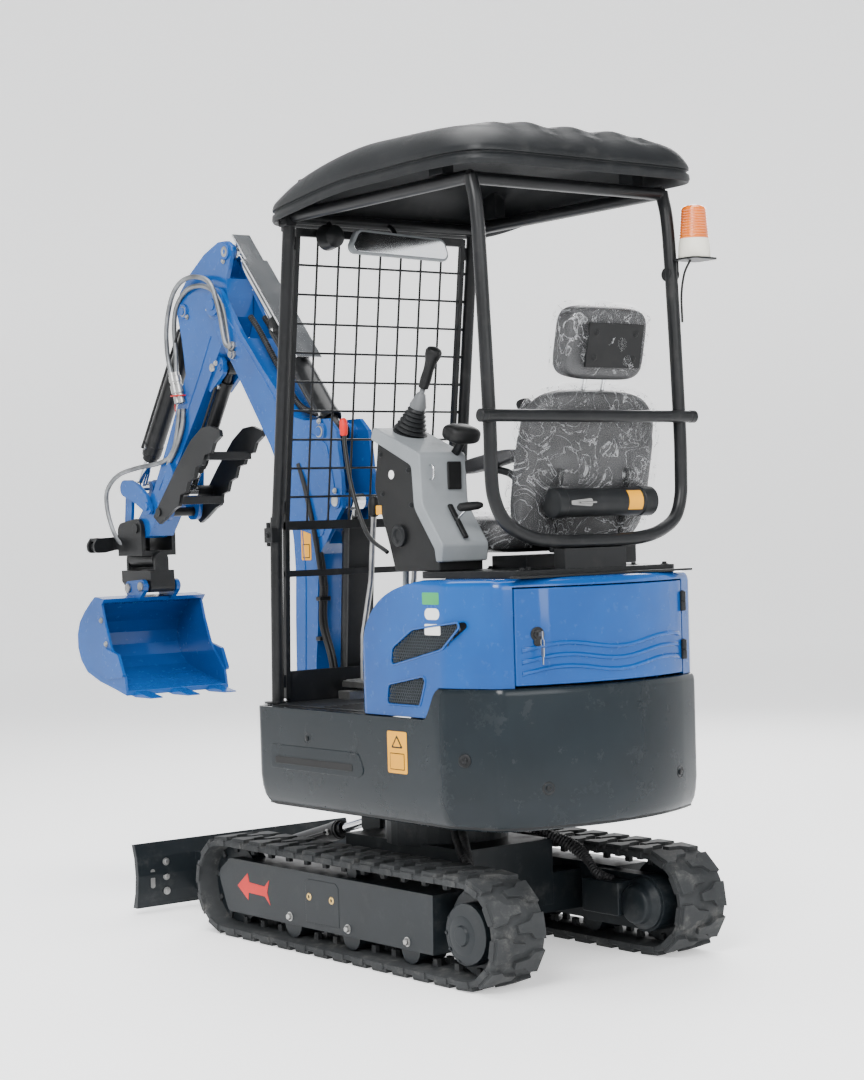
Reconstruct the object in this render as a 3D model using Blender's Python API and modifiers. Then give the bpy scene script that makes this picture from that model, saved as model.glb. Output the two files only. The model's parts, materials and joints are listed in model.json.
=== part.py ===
"""Mini excavator: tracked undercarriage with a blade, turning upper frame with an open canopy,
swinging boom, arm, thumb, tilting hitch and bucket.

Metres, +Z up.  The machine faces -Y and its left side is +X.  Every place below is measured from
the slewing axis at ground level; the whole model then hangs on one empty that moves the middle of
its length to the origin.
"""
import math

import bmesh
import bpy
from mathutils import Matrix, Vector

# ---------------------------------------------------------------- driving dimensions
GAP = 0.0003                 # between faces that touch
RUN = 0.0003                 # radial running clearance on pins and rods
SIDE = 0.002                 # side clearance between an eye and its ears

WIDTH = 0.88                 # over the tracks and over the lower skirt
TAIL_RADIUS = 0.82           # tail, swung about the slewing axis

# undercarriage
BELT_WIDTH = 0.18
BELT_THICK = 0.020
LUG_HEIGHT = 0.012
LUG_COUNT = 32
LOOP_HEIGHT = 0.318          # over the lugs
WHEEL_BASE = 1.229           # idler axle to sprocket axle
FRAME_BOTTOM = 0.075
FRAME_TOP = 0.247
FRAME_DEPTH = 0.125          # across the machine
RING_TOP = 0.410             # top of the fixed half of the slewing ring
RING_RADIUS = 0.190

# upper frame and covers
DECK_LOW = 0.447
DECK_THICK = 0.024
SKIRT_LOW = 0.440
SKIRT_TOP = 0.747
SKIRT_REAR_TOP = 0.838
SKIRT_WALL = 0.018
SKIRT_FRONT = -0.392
HOOD_TOP = 1.138
HOOD_WALL = 0.016
HOOD_FRONT = 0.170
HOOD_INSET = 0.010           # hood side inboard of the skirt's side
DOOR_LEFT = 0.325            # the engine door's seams
DOOR_RIGHT = -0.300
SEAM = 0.004
DOOR_HINGE = (-0.302, 0.7545)
KNUCKLES_Z = (0.910, 1.050)  # where the hood's knuckle meets the door's

# canopy
POST_X = 0.358
POST_RADIUS = 0.019
ROOF_HALF_WIDTH = 0.430
ROOF_FRONT = -0.290
ROOF_REAR = 0.755
ROOF_EDGE_Z = 2.285
ROOF_CROWN = 0.150
ROOF_WALL = 0.020
SEAT_X = -0.076

# swing post
SWING_Y = -0.520
LUG_RADIUS = 0.055
LUG_THICK = 0.028
POST_LOW = 0.455
POST_HIGH = 0.605
POST_EAR_IN = 0.0765
POST_EAR_OUT = 0.104

# pins of the digging gear, in the machine's side plane (y, z)
BOOM_FOOT = (-0.620, 0.680)
LIFT_BASE = (-0.485, 0.745)
LIFT_EYE = (-0.435, 1.375)
ARM_CYLINDER_BASE = (-0.511, 1.600)
ARM_CYLINDER_EYE = (-1.070, 2.240)
ARM_PIVOT = (-1.118, 2.064)
BUCKET_CYLINDER_BASE = (-1.352, 2.062)
GUIDE_PIVOT = (-1.621, 1.383)
LINK_EYE = (-1.778, 1.453)
HITCH_LINK_PIN = (-1.800, 1.293)
HITCH_PIN = (-1.700, 1.304)
THUMB_PIVOT = (-1.500, 1.360)
THUMB_EYE = (-1.422, 1.433)
THUMB_CYLINDER_BASE = (-1.140, 1.850)
TILT_AXIS_Z = 1.190
TILT_PIN_X = 0.130            # the tilt cylinder's pins, each side of the axis
TILT_PIN_Z = 1.240
BUCKET_PINS = ((-1.762, 1.086), (-1.671, 1.092))

# blade
BLADE_PIVOT = (-0.420, 0.200)
BLADE_EYE = (-0.360, 0.352)
BLADE_CYLINDER_BASE = (-1.075, 0.160)
BLADE_ARM_X = 0.185

# sections
BOOM_HALF = 0.070
BOOM_PLATE = 0.014
ARM_HALF = 0.052
BUCKET_HALF = 0.215
BUCKET_PLATE = 0.010
HITCH_EAR_IN = 0.056
HITCH_EAR_OUT = 0.072
THUMB_PLATE_X = 0.086
THUMB_PLATE = 0.014

LENGTH_FRONT = -1.924        # hitch wing, the foremost point
LENGTH_MIDDLE = (LENGTH_FRONT + TAIL_RADIUS) / 2

# ---------------------------------------------------------------- start from an empty scene
for old in list(bpy.data.objects):
    bpy.data.objects.remove(old, do_unlink=True)

SCENE = bpy.context.scene.collection
PARTS = bpy.data.collections.new("mini_excavator")
CUTTERS = bpy.data.collections.new("cutters")
SCENE.children.link(PARTS)
SCENE.children.link(CUTTERS)

COLOURS = {
    "blue_paint": ((0.010, 0.130, 0.560), 0.30, 0.0),
    "black_paint": ((0.012, 0.013, 0.014), 0.45, 0.0),
    "frame_paint": ((0.020, 0.024, 0.028), 0.50, 0.0),
    "skirt_paint": ((0.022, 0.028, 0.034), 0.40, 0.0),
    "rubber": ((0.030, 0.032, 0.035), 0.80, 0.0),
    "roof_plastic": ((0.020, 0.022, 0.025), 0.45, 0.0),
    "console_plastic": ((0.300, 0.310, 0.320), 0.40, 0.0),
    "seat_vinyl": ((0.030, 0.030, 0.032), 0.50, 0.0),
    "tube_plastic": ((0.015, 0.015, 0.016), 0.45, 0.0),
    "amber": ((0.900, 0.330, 0.010), 0.20, 0.0),
    "steel": ((0.550, 0.550, 0.540), 0.25, 1.0),
    "cast_iron": ((0.050, 0.050, 0.055), 0.60, 0.0),
}


def material(name):
    found = bpy.data.materials.get(name)
    if found:
        return found
    colour, roughness, metallic = COLOURS[name]
    made = bpy.data.materials.new(name)
    made.use_nodes = True
    shader = made.node_tree.nodes["Principled BSDF"]
    shader.inputs["Base Color"].default_value = (*colour, 1.0)
    shader.inputs["Roughness"].default_value = roughness
    shader.inputs["Metallic"].default_value = metallic
    return made


# ---------------------------------------------------------------- bodies: one empty on each axis
def pivot(name, x, y, z, parent=None):
    """An empty on a joint's axis; the pieces that turn there are its children."""
    made = bpy.data.objects.new(name, None)
    made.empty_display_size = 0.1
    PARTS.objects.link(made)
    made["place"] = (x, y, z)
    if parent:
        made.parent = parent
        made.location = Vector((x, y, z)) - Vector(parent["place"])
    else:
        made.location = (x, y, z)
    return made


MACHINE = pivot("machine", 0, 0, 0)
MACHINE.location = (0, -LENGTH_MIDDLE, 0)
UPPER = pivot("upper_axis", 0, 0, 0, MACHINE)
SWING = pivot("swing_axis", 0, SWING_Y, 0, UPPER)
BOOM = pivot("boom_axis", 0, *BOOM_FOOT, SWING)
LIFT = pivot("lift_cylinder_axis", 0, *LIFT_BASE, SWING)
ARM = pivot("arm_axis", 0, *ARM_PIVOT, BOOM)
ARM_CYLINDER = pivot("arm_cylinder_axis", 0, *ARM_CYLINDER_BASE, BOOM)
BUCKET_CYLINDER = pivot("bucket_cylinder_axis", 0, *BUCKET_CYLINDER_BASE, ARM)
GUIDE = pivot("guide_link_axis", 0, *GUIDE_PIVOT, ARM)
THUMB = pivot("thumb_axis", 0, *THUMB_PIVOT, ARM)
THUMB_CYLINDER = pivot("thumb_cylinder_axis", 0, *THUMB_CYLINDER_BASE, ARM)
HITCH = pivot("hitch_axis", 0, *HITCH_PIN, ARM)
TIPPING = pivot("tipping_link_axis", 0, *HITCH_LINK_PIN, HITCH)
TILT = pivot("tilt_axis", 0, HITCH_PIN[0], TILT_AXIS_Z, HITCH)
DOOR = pivot("door_axis", *DOOR_HINGE, 0.98, UPPER)
BLADE = pivot("blade_axis", 0, *BLADE_PIVOT, MACHINE)
BLADE_CYLINDER = pivot("blade_cylinder_axis", 0, *BLADE_CYLINDER_BASE, BLADE)


# ---------------------------------------------------------------- shape helpers
def put(piece, body, slot=None):
    """Hang a piece on its body's empty, keeping its place in the machine."""
    if piece.parent is None:
        piece.parent = body
        piece.location = piece.location - Vector(body["place"])
    if slot:
        piece.data.materials.clear()
        piece.data.materials.append(material(slot))
    return piece


def made_object(name, mesh):
    piece = bpy.data.objects.new(name, mesh)
    PARTS.objects.link(piece)
    return piece


def smooth(piece, angle=35):
    piece.data.shade_smooth()
    piece.data.set_sharp_from_angle(angle=math.radians(angle))
    return piece


def block(name, low, high):
    low, high = Vector(low), Vector(high)
    mesh = bpy.data.meshes.new(name)
    shape = bmesh.new()
    bmesh.ops.create_cube(shape, size=1.0, matrix=Matrix.Diagonal((*(high - low), 1.0)))
    shape.to_mesh(mesh)
    shape.free()
    piece = made_object(name, mesh)
    piece.location = (low + high) / 2
    return piece


def cylinder(name, start, end, radius, sides=16, radius_end=None):
    start, end = Vector(start), Vector(end)
    mesh = bpy.data.meshes.new(name)
    shape = bmesh.new()
    far = radius if radius_end is None else radius_end
    bmesh.ops.create_cone(shape, cap_ends=True, segments=sides, radius1=radius, radius2=far,
                          depth=(end - start).length)
    shape.to_mesh(mesh)
    shape.free()
    piece = made_object(name, mesh)
    piece.location = (start + end) / 2
    piece.rotation_euler = (end - start).to_track_quat("Z", "Y").to_euler()
    return smooth(piece)


def pin(name, place, radius, half, sides=16):
    """A round bar across the machine at a point (y, z) of its side plane."""
    return cylinder(name, (-half, *place), (half, *place), radius, sides)


def as_mesh(curve_object):
    """The closed mesh of a curve object, which the curve itself can't be in a Boolean."""
    graph = bpy.context.evaluated_depsgraph_get()
    mesh = bpy.data.meshes.new_from_object(curve_object.evaluated_get(graph))
    shape = bmesh.new()
    shape.from_mesh(mesh)
    bmesh.ops.remove_doubles(shape, verts=shape.verts, dist=0.00001)
    bmesh.ops.recalc_face_normals(shape, faces=shape.faces)
    shape.to_mesh(mesh)
    shape.free()
    name = curve_object.name
    place, turn = curve_object.location.copy(), curve_object.rotation_euler.copy()
    bpy.data.objects.remove(curve_object, do_unlink=True)
    piece = made_object(name, mesh)
    piece.location = place
    piece.rotation_euler = turn
    return piece


def hole(name, start, end, radius, sides=16):
    """A cutter that clears a pin of this radius at every angle the two can stand at."""
    return cylinder(name, start, end, (radius + RUN) / math.cos(math.pi / sides), sides)


def pin_hole(name, place, radius, half, sides=16):
    return hole(name, (-half, *place), (half, *place), radius, sides)


PLANES = {
    "side": (math.pi / 2, 0, math.pi / 2),      # outline (y, z), thickness along X
    "plan": (0, 0, 0),                          # outline (x, y), thickness along Z
    "front": (math.pi / 2, 0, 0),               # outline (x, z), thickness along Y
}


def plate(name, plane, middle, thickness, *outlines):
    """A flat plate: outlines in a plane, the first the edge and the rest its holes."""
    curve = bpy.data.curves.new(name, "CURVE")
    curve.dimensions = "2D"
    curve.fill_mode = "BOTH"
    curve.extrude = thickness / 2
    for outline in outlines:
        line = curve.splines.new("POLY")
        line.points.add(len(outline) - 1)
        for point, (a, b) in zip(line.points, outline):
            point.co = (a, b, 0, 1)
        line.use_cyclic_u = True
    drawn = bpy.data.objects.new(name, curve)
    SCENE.objects.link(drawn)
    drawn.rotation_euler = PLANES[plane]
    drawn.location = {"side": (middle, 0, 0), "plan": (0, 0, middle), "front": (0, middle, 0)}[plane]
    bpy.context.view_layer.update()
    return as_mesh(drawn)


def tube(name, points, radius, detail=2):
    """A round tube along points."""
    curve = bpy.data.curves.new(name, "CURVE")
    curve.dimensions = "3D"
    curve.bevel_depth = radius
    curve.bevel_resolution = detail
    curve.use_fill_caps = True
    line = curve.splines.new("POLY")
    line.points.add(len(points) - 1)
    for point, place in zip(line.points, points):
        point.co = (*place, 1)
    drawn = bpy.data.objects.new(name, curve)
    SCENE.objects.link(drawn)
    bpy.context.view_layer.update()
    return smooth(as_mesh(drawn), 50)


def arc(centre, radius, start, end, steps):
    """Points on an arc, angles in degrees."""
    a, b = centre
    turns = [math.radians(start + (end - start) * k / steps) for k in range(steps + 1)]
    return [(a + radius * math.cos(t), b + radius * math.sin(t)) for t in turns]


def rounded(corners, steps=3):
    """An outline whose corners (a, b, radius) are rounded with arcs."""
    points = []
    count = len(corners)
    for k, (a, b, radius) in enumerate(corners):
        here = Vector((a, b))
        before = (Vector(corners[k - 1][:2]) - here).normalized()
        after = (Vector(corners[(k + 1) % count][:2]) - here).normalized()
        half = before.angle(after) / 2
        if radius <= 0 or half > math.radians(88):
            points.append((a, b))
            continue
        reach = radius / math.tan(half)
        centre = here + (before + after).normalized() * radius / math.sin(half)
        first = here + before * reach - centre
        last = here + after * reach - centre
        for n in range(steps + 1):
            spoke = first.lerp(last, n / steps).normalized() * radius
            points.append(tuple(centre + spoke))
    return points


def disc(centre, radius, sides=20):
    return arc(centre, radius, 0, 360 - 360 / sides, sides - 1)


def tool(piece, target):
    """Keep a piece only as a cutter of its target."""
    put(piece, target.parent)
    PARTS.objects.unlink(piece)
    CUTTERS.objects.link(piece)
    piece.hide_render = True
    piece.display_type = "WIRE"


def combine(target, operation, pieces):
    for piece in pieces:
        tool(piece, target)
        step = target.modifiers.new(piece.name, "BOOLEAN")
        step.operation = operation
        step.solver = "EXACT"
        step.object = piece
    return target


def join(target, *pieces):
    return combine(target, "UNION", pieces)


def cut(target, *pieces):
    return combine(target, "DIFFERENCE", pieces)


def keep(target, *pieces):
    return combine(target, "INTERSECT", pieces)


def both_sides(function, name, x, *values):
    """The same piece on the left and the right."""
    return [function(f"{name}_{side}", sign * x, *values) for side, sign in (("l", 1), ("r", -1))]


def along(start, end, distance):
    start, end = Vector(start), Vector(end)
    return tuple(start + (end - start).normalized() * distance)


# ---------------------------------------------------------------- undercarriage
LOOP_RADIUS = LOOP_HEIGHT / 2
AXLE_Z = LOOP_RADIUS
BELT_INSIDE = LOOP_RADIUS - LUG_HEIGHT - BELT_THICK
BELT_X = WIDTH / 2 - BELT_WIDTH / 2


def loop_point(distance, radius):
    """A point and height on the track's loop, at a distance along its middle line."""
    straight = WHEEL_BASE
    bend = math.pi * LOOP_RADIUS
    distance %= 2 * (straight + bend)
    if distance < straight:
        return -straight / 2 + distance, AXLE_Z - radius
    distance -= straight
    if distance < bend:
        turn = distance / LOOP_RADIUS
        return straight / 2 + radius * math.sin(turn), AXLE_Z - radius * math.cos(turn)
    distance -= bend
    if distance < straight:
        return straight / 2 - distance, AXLE_Z + radius
    turn = (distance - straight) / LOOP_RADIUS
    return -straight / 2 - radius * math.sin(turn), AXLE_Z + radius * math.cos(turn)


def rubber_track(side, sign):
    total = 2 * (WHEEL_BASE + math.pi * LOOP_RADIUS)
    pitch = total / LUG_COUNT
    outside = []
    for n in range(LUG_COUNT):
        for share, height in ((0.08, 0.0), (0.18, LUG_HEIGHT), (0.60, LUG_HEIGHT), (0.70, 0.0)):
            outside.append(loop_point((n + share) * pitch, LOOP_RADIUS - LUG_HEIGHT + height))
    inside = arc((WHEEL_BASE / 2, AXLE_Z), BELT_INSIDE, -90, 90, BEND_STEPS)
    inside += arc((-WHEEL_BASE / 2, AXLE_Z), BELT_INSIDE, 90, 270, BEND_STEPS)
    belt = plate(f"rubber_track_{side}", "side", sign * BELT_X, BELT_WIDTH, outside, inside)
    return put(belt, MACHINE, "rubber")


ROLLER_RADIUS = 0.045
ROLLERS_Y = (-0.268, 0.037, 0.329)
BEND_STEPS = 12
WHEEL_RADIUS = BELT_INSIDE * math.cos(math.pi / (2 * BEND_STEPS)) - GAP


def track_frame(side, sign):
    """Box beam with its rollers, front idler and rear drive hub, as one welded unit."""
    outline = rounded([(-0.600, FRAME_TOP, 0.02), (-0.674, 0.198, 0.03), (-0.619, FRAME_BOTTOM, 0.02),
                       (0.450, FRAME_BOTTOM, 0), (0.455, FRAME_TOP, 0)])
    beam = plate(f"track_frame_{side}", "side", sign * BELT_X, FRAME_DEPTH, outline)
    put(beam, MACHINE, "frame_paint")
    half = FRAME_DEPTH / 2 - 0.012
    pieces = []
    low = GAP + LUG_HEIGHT + BELT_THICK
    for n, y in enumerate(ROLLERS_Y):
        place = (y, low + ROLLER_RADIUS)
        pieces.append(cylinder(f"roller_{side}_{n}", (sign * BELT_X - half, *place),
                               (sign * BELT_X + half, *place), ROLLER_RADIUS, 16))
    for name, y, wide in (("idler", -WHEEL_BASE / 2, 0.05), ("sprocket", WHEEL_BASE / 2, 0.05)):
        pieces.append(cylinder(f"{name}_{side}", (sign * BELT_X - wide / 2, y, AXLE_Z),
                               (sign * BELT_X + wide / 2, y, AXLE_Z), WHEEL_RADIUS, 24))
    inner = sign * (BELT_X - BELT_WIDTH / 2 - 0.01)
    outer = sign * (BELT_X + BELT_WIDTH / 2 - 0.02)
    pieces.append(cylinder(f"drive_hub_{side}", (inner, WHEEL_BASE / 2, AXLE_Z),
                           (outer, WHEEL_BASE / 2, AXLE_Z), 0.085, 24))
    near, far = sorted((inner, inner + sign * 0.05))
    pieces.append(block(f"hub_bracket_{side}", (near, 0.36, FRAME_BOTTOM + 0.005),
                        (far, WHEEL_BASE / 2, FRAME_TOP - 0.005)))
    pieces.append(cylinder(f"idler_axle_{side}", (sign * BELT_X - half, -WHEEL_BASE / 2, AXLE_Z),
                           (sign * BELT_X + half, -WHEEL_BASE / 2, AXLE_Z), 0.030, 16))
    place = (0.02, 0.318 - LUG_HEIGHT - BELT_THICK - GAP - 0.024)
    pieces.append(cylinder(f"carrier_roller_{side}", (sign * BELT_X - 0.03, *place),
                           (sign * BELT_X + 0.03, *place), 0.024, 14))
    return join(beam, *pieces)


def car_body():
    """Centre body between the track frames, with the fixed half of the slewing ring."""
    inner = BELT_X - FRAME_DEPTH / 2 - GAP
    body = block("car_body", (-0.17, -0.30, 0.130), (0.17, 0.30, 0.330))
    put(body, MACHINE, "frame_paint")
    pieces = [cylinder("ring", (0, 0, 0.32), (0, 0, RING_TOP), RING_RADIUS, 32)]
    for y in (-0.24, 0.24):
        pieces.append(block(f"cross_beam_{y}", (-inner, y - 0.055, 0.105), (inner, y + 0.055, 0.225)))
    for sign in (1, -1):
        x = sign * BLADE_ARM_X
        for offset in (-0.034, 0.034):
            ear = rounded([(-0.28, 0.245, 0), (BLADE_PIVOT[0] - 0.034, 0.245, 0.04),
                           (BLADE_PIVOT[0] - 0.034, 0.160, 0.03), (-0.28, 0.120, 0)])
            pieces.append(plate(f"blade_ear_{sign}_{offset}", "side", x + offset, 0.014, ear))
        pieces.append(cylinder(f"blade_pin_{sign}", (x - 0.045, *BLADE_PIVOT), (x + 0.045, *BLADE_PIVOT),
                               0.016, 16))
    for sign in (1, -1):
        ear = rounded([(-0.29, 0.390, 0.02), (BLADE_EYE[0] - 0.030, 0.385, 0.03),
                       (BLADE_EYE[0] - 0.030, 0.318, 0.03), (-0.29, 0.250, 0)])
        pieces.append(plate(f"blade_cylinder_ear_{sign}", "side", sign * 0.036, 0.014, ear))
    return join(body, *pieces)


# ---------------------------------------------------------------- cylinders
def hydraulic_barrel(name, body, base, eye, length, radius, rod_radius, pin_radius, half, travel, push_in):
    """Barrel from its base pin towards its rod's eye, bored for the rod and for its way in."""
    base3, eye3 = Vector((0, *base)), Vector((0, *eye))
    reach = (eye3 - base3).length
    start = along(base3, eye3, pin_radius * 1.2)
    barrel = cylinder(name, along(base3, eye3, 0.055), along(base3, eye3, length), radius, 20)
    put(barrel, body, "black_paint")
    neck = cylinder(f"{name}_neck", start, along(base3, eye3, 0.075), radius * 0.62, 16)
    eye_ring = pin(f"{name}_eye", base, pin_radius * 1.9, half)
    gland = cylinder(f"{name}_gland", along(base3, eye3, length - 0.01),
                     along(base3, eye3, length + 0.018), radius * 0.8, 20)
    join(barrel, neck, eye_ring, gland)
    bore_start = reach - travel - push_in - 0.005
    cut(barrel, cylinder(f"{name}_bore", along(base3, eye3, bore_start),
                         along(base3, eye3, length + 0.05), rod_radius + RUN, 16),
        pin_hole(f"{name}_pin_hole", base, pin_radius, half + 0.01))
    return barrel


def hydraulic_rod(name, body, base, eye, rod_radius, eye_radius, half, travel):
    """Rod with a solid eye; its far pin is open, so the eye only lies between its ears."""
    base3, eye3 = Vector((0, *base)), Vector((0, *eye))
    reach = (eye3 - base3).length
    rod = cylinder(name, along(base3, eye3, reach - travel), eye3, rod_radius, 16)
    put(rod, body, "steel")
    return join(rod, pin(f"{name}_eye", eye, eye_radius, half))


# ---------------------------------------------------------------- blade
def dozer_blade():
    face = [(-1.176, 0.020), (-1.160, 0.070), (-1.154, 0.130), (-1.160, 0.190), (-1.174, 0.236),
            (-1.156, 0.238), (-1.140, 0.190), (-1.134, 0.130), (-1.140, 0.070), (-1.148, 0.020)]
    blade = plate("dozer_blade", "side", 0, WIDTH, face)
    put(blade, BLADE, "frame_paint")
    pieces = []
    for sign in (1, -1):
        side = rounded([(BLADE_PIVOT[0] + 0.032, 0.232, 0.03), (BLADE_PIVOT[0] + 0.032, 0.168, 0.03),
                        (-0.62, 0.110, 0.05), (-1.145, 0.060, 0), (-1.145, 0.190, 0),
                        (-0.62, 0.190, 0.05)])
        pieces.append(plate(f"blade_arm_{sign}", "side", sign * BLADE_ARM_X, 0.050, side))
    pieces.append(block("blade_tie", (-BLADE_ARM_X, -0.70, 0.110), (BLADE_ARM_X, -0.64, 0.145)))
    for sign in (1, -1):
        ear = rounded([(-1.150, 0.215, 0), (-1.150, 0.080, 0), (-1.035, 0.125, 0.03), (-1.035, 0.195, 0.03)])
        pieces.append(plate(f"blade_ear_{sign}", "side", sign * 0.036, 0.014, ear))
    pieces.append(pin("blade_cylinder_pin", BLADE_CYLINDER_BASE, 0.016, 0.045))
    join(blade, *pieces)
    holes = [hole(f"blade_hole_{sign}", (sign * BLADE_ARM_X - 0.05, *BLADE_PIVOT),
                  (sign * BLADE_ARM_X + 0.05, *BLADE_PIVOT), 0.016) for sign in (1, -1)]
    return cut(blade, *holes)


# ---------------------------------------------------------------- upper frame
def plan_outline(inset, front, tail):
    """Half-round tail, straight sides and rounded front corners, seen from above."""
    side = WIDTH / 2 - inset
    angle = 27
    first, last = 90 - angle, 90 + angle
    back = arc((0, 0), tail, first, last, 8)
    right = [(side, front, 0.045), (side, 0.560, 0.110), (*back[0], 0.06)]
    left = [(-a, b, r) for a, b, r in reversed(right)]
    corners = right + [(a, b, 0) for a, b in back[1:-1]] + left
    return rounded(corners, 4)


def main_frame():
    """Deck plate, turning half of the ring and the two lugs that hold the swing post."""
    inset = SKIRT_WALL + GAP
    outline = plan_outline(inset, SKIRT_FRONT + inset, TAIL_RADIUS - inset)
    frame = plate("main_frame", "plan", DECK_LOW + DECK_THICK / 2, DECK_THICK, outline)
    put(frame, UPPER, "black_paint")
    pieces = [cylinder("upper_ring", (0, 0, RING_TOP + GAP), (0, 0, DECK_LOW + 0.01), RING_RADIUS, 32)]
    lug = [(-0.075, -0.30), (0.075, -0.30)] + arc((0, SWING_Y), LUG_RADIUS, 0, -180, 12)[0:]
    for name, low in (("low", POST_LOW - GAP - LUG_THICK), ("high", POST_HIGH + GAP)):
        pieces.append(plate(f"swing_lug_{name}", "plan", low + LUG_THICK / 2, LUG_THICK, lug))
    pieces.append(block("swing_web", (-0.06, -0.455, POST_LOW - 0.01), (0.06, -0.28, POST_HIGH + 0.01)))
    pieces.append(cylinder("swing_pin", (0, SWING_Y, POST_LOW - 0.02), (0, SWING_Y, POST_HIGH + 0.012),
                           0.026, 20))
    pieces.append(block("spine", (-0.09, -0.34, DECK_LOW + 0.01), (0.09, 0.20, 0.600)))
    tail = arc((0, 0), TAIL_RADIUS - inset - 0.010, 65, 115, 6) + [(-0.330, 0.668), (0.330, 0.668)]
    pieces.append(plate("counterweight", "plan", 0.590, 0.260, tail))
    for sign in (1, -1):
        pieces.append(block(f"engine_rail_{sign}", (sign * 0.16 - 0.03, 0.19, DECK_LOW + 0.01),
                            (sign * 0.16 + 0.03, 0.52, 0.560)))
        pieces.append(block(f"floor_rail_{sign}", (sign * 0.33 - 0.02, -0.33, DECK_LOW + 0.01),
                            (sign * 0.33 + 0.02, 0.14, 0.7297)))
    return join(frame, *pieces)


def lower_skirt():
    """Steel covers round the deck, higher at the tail, open at the front for the swing post."""
    high = SKIRT_REAR_TOP - SKIRT_LOW
    outer = plan_outline(0, SKIRT_FRONT, TAIL_RADIUS)
    inner = plan_outline(SKIRT_WALL, SKIRT_FRONT + SKIRT_WALL, TAIL_RADIUS - SKIRT_WALL)
    skirt = plate("lower_skirt", "plan", SKIRT_LOW + high / 2, high, outer, inner)
    put(skirt, UPPER, "skirt_paint")
    front_top = [(-0.6, SKIRT_TOP), (0.470, SKIRT_TOP), (0.540, SKIRT_REAR_TOP + 0.01),
                 (0.540, 0.95), (-0.6, 0.95)]
    cut(skirt, plate("skirt_step", "side", 0, WIDTH + 0.1, front_top),
        block("skirt_mouth", (-0.17, SKIRT_FRONT - 0.05, SKIRT_LOW - 0.05),
              (0.17, SKIRT_FRONT + 0.06, SKIRT_TOP + 0.05)))
    return skirt


def floor_plate():
    outline = rounded([(-0.415, -0.372, 0.06), (-0.415, 0.150, 0), (0.415, 0.150, 0), (0.415, -0.372, 0.06)])
    floor = plate("floor_plate", "plan", 0.7385, 0.017, outline)
    put(floor, UPPER, "black_paint")
    return floor


def engine_block():
    """Engine with its pump: one plain block on the deck's rails."""
    return put(block("engine_block", (-0.24, 0.235, 0.5603), (0.22, 0.655, 0.990)), UPPER, "cast_iron")


# ---------------------------------------------------------------- hood
HOOD_TAIL = TAIL_RADIUS - 0.012
HOOD_PROFILE = [(0.155, 0.7505), (0.180, 0.960), (0.205, 1.025), (0.262, 1.078), (0.340, 1.112),
                (0.450, HOOD_TOP), (0.90, HOOD_TOP), (0.90, 0.7505)]


def hood_panel(name, low_x, high_x, low_y, high_y, low_z, high_z, body=UPPER):
    """A piece of the hood's shell between seams."""
    high = HOOD_TOP + 0.06 - 0.70
    outer = plan_outline(HOOD_INSET, 0.150, HOOD_TAIL)
    panel = plate(name, "plan", 0.70 + high / 2, high, outer)
    put(panel, body, "blue_paint")
    keep(panel, plate(f"{name}_profile", "side", 0, WIDTH + 0.1, HOOD_PROFILE))
    inner = plan_outline(HOOD_INSET + HOOD_WALL, 0.150 + HOOD_WALL, HOOD_TAIL - HOOD_WALL)
    hollow = plate(f"{name}_hollow", "plan", 0.60 + (HOOD_TOP - HOOD_WALL - 0.60) / 2,
                   HOOD_TOP - HOOD_WALL - 0.60, inner)
    inside = [(y + (HOOD_WALL if y < 0.9 else 0.1), z - (HOOD_WALL if z > 0.76 else 0.1))
              for y, z in HOOD_PROFILE]
    keep(put(hollow, body), plate(f"{name}_inside", "side", 0, WIDTH + 0.1, inside))
    cut(panel, hollow)
    return keep(panel, block(f"{name}_piece", (low_x, low_y, low_z), (high_x, high_y, high_z)))


def step_cutter(name):
    """Keeps the hood's rear off the raised part of the skirt."""
    line = [(0.462, 0.70), (0.462, 0.7507), (0.532, SKIRT_REAR_TOP + 0.0003),
            (0.95, SKIRT_REAR_TOP + 0.0003), (0.95, 0.70)]
    return plate(name, "side", 0, WIDTH + 0.1, line)


def vent(name, corners):
    return plate(name, "side", WIDTH / 2, 0.1, rounded(corners, 3))


def hood_left():
    panel = hood_panel("hood_left", 0.0003, 0.5, 0.1, 0.9, 0.70, 1.2)
    upper = vent("vent_upper", [(0.314, 0.893, 0.01), (0.322, 0.945, 0.02), (0.42, 1.000, 0.05),
                                (0.655, 1.026, 0.01), (0.552, 0.945, 0.03)])
    lower = vent("vent_lower", [(0.291, 0.783, 0.01), (0.299, 0.840, 0.015), (0.482, 0.872, 0.01),
                                (0.447, 0.783, 0.01)])
    door_gap = block("left_door_gap", (-0.1, 0.60, 0.70), (DOOR_LEFT, 0.9, 1.115))
    return cut(panel, step_cutter("left_step"), upper, lower, door_gap)


def hinge_round(name, low, high, radius):
    return cylinder(name, (*DOOR_HINGE, low), (*DOOR_HINGE, high), radius, 12)


def hood_right():
    panel = hood_panel("hood_right", -0.5, -0.0003, 0.1, 0.9, 0.70, 1.2)
    door_gap = block("right_door_gap", (DOOR_RIGHT - SEAM, 0.60, 0.70), (0.1, 0.9, 1.115))
    cut(panel, step_cutter("right_step"), door_gap)
    for z in KNUCKLES_Z:
        cut(panel, hinge_round(f"knuckle_room_{z}", z, z + 0.030, 0.012))
        join(panel, hinge_round(f"hood_knuckle_{z}", z - 0.028, z - GAP, 0.009),
             hinge_round(f"hinge_pin_{z}", z - 0.010, z + 0.030, 0.004))
    return panel


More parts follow.
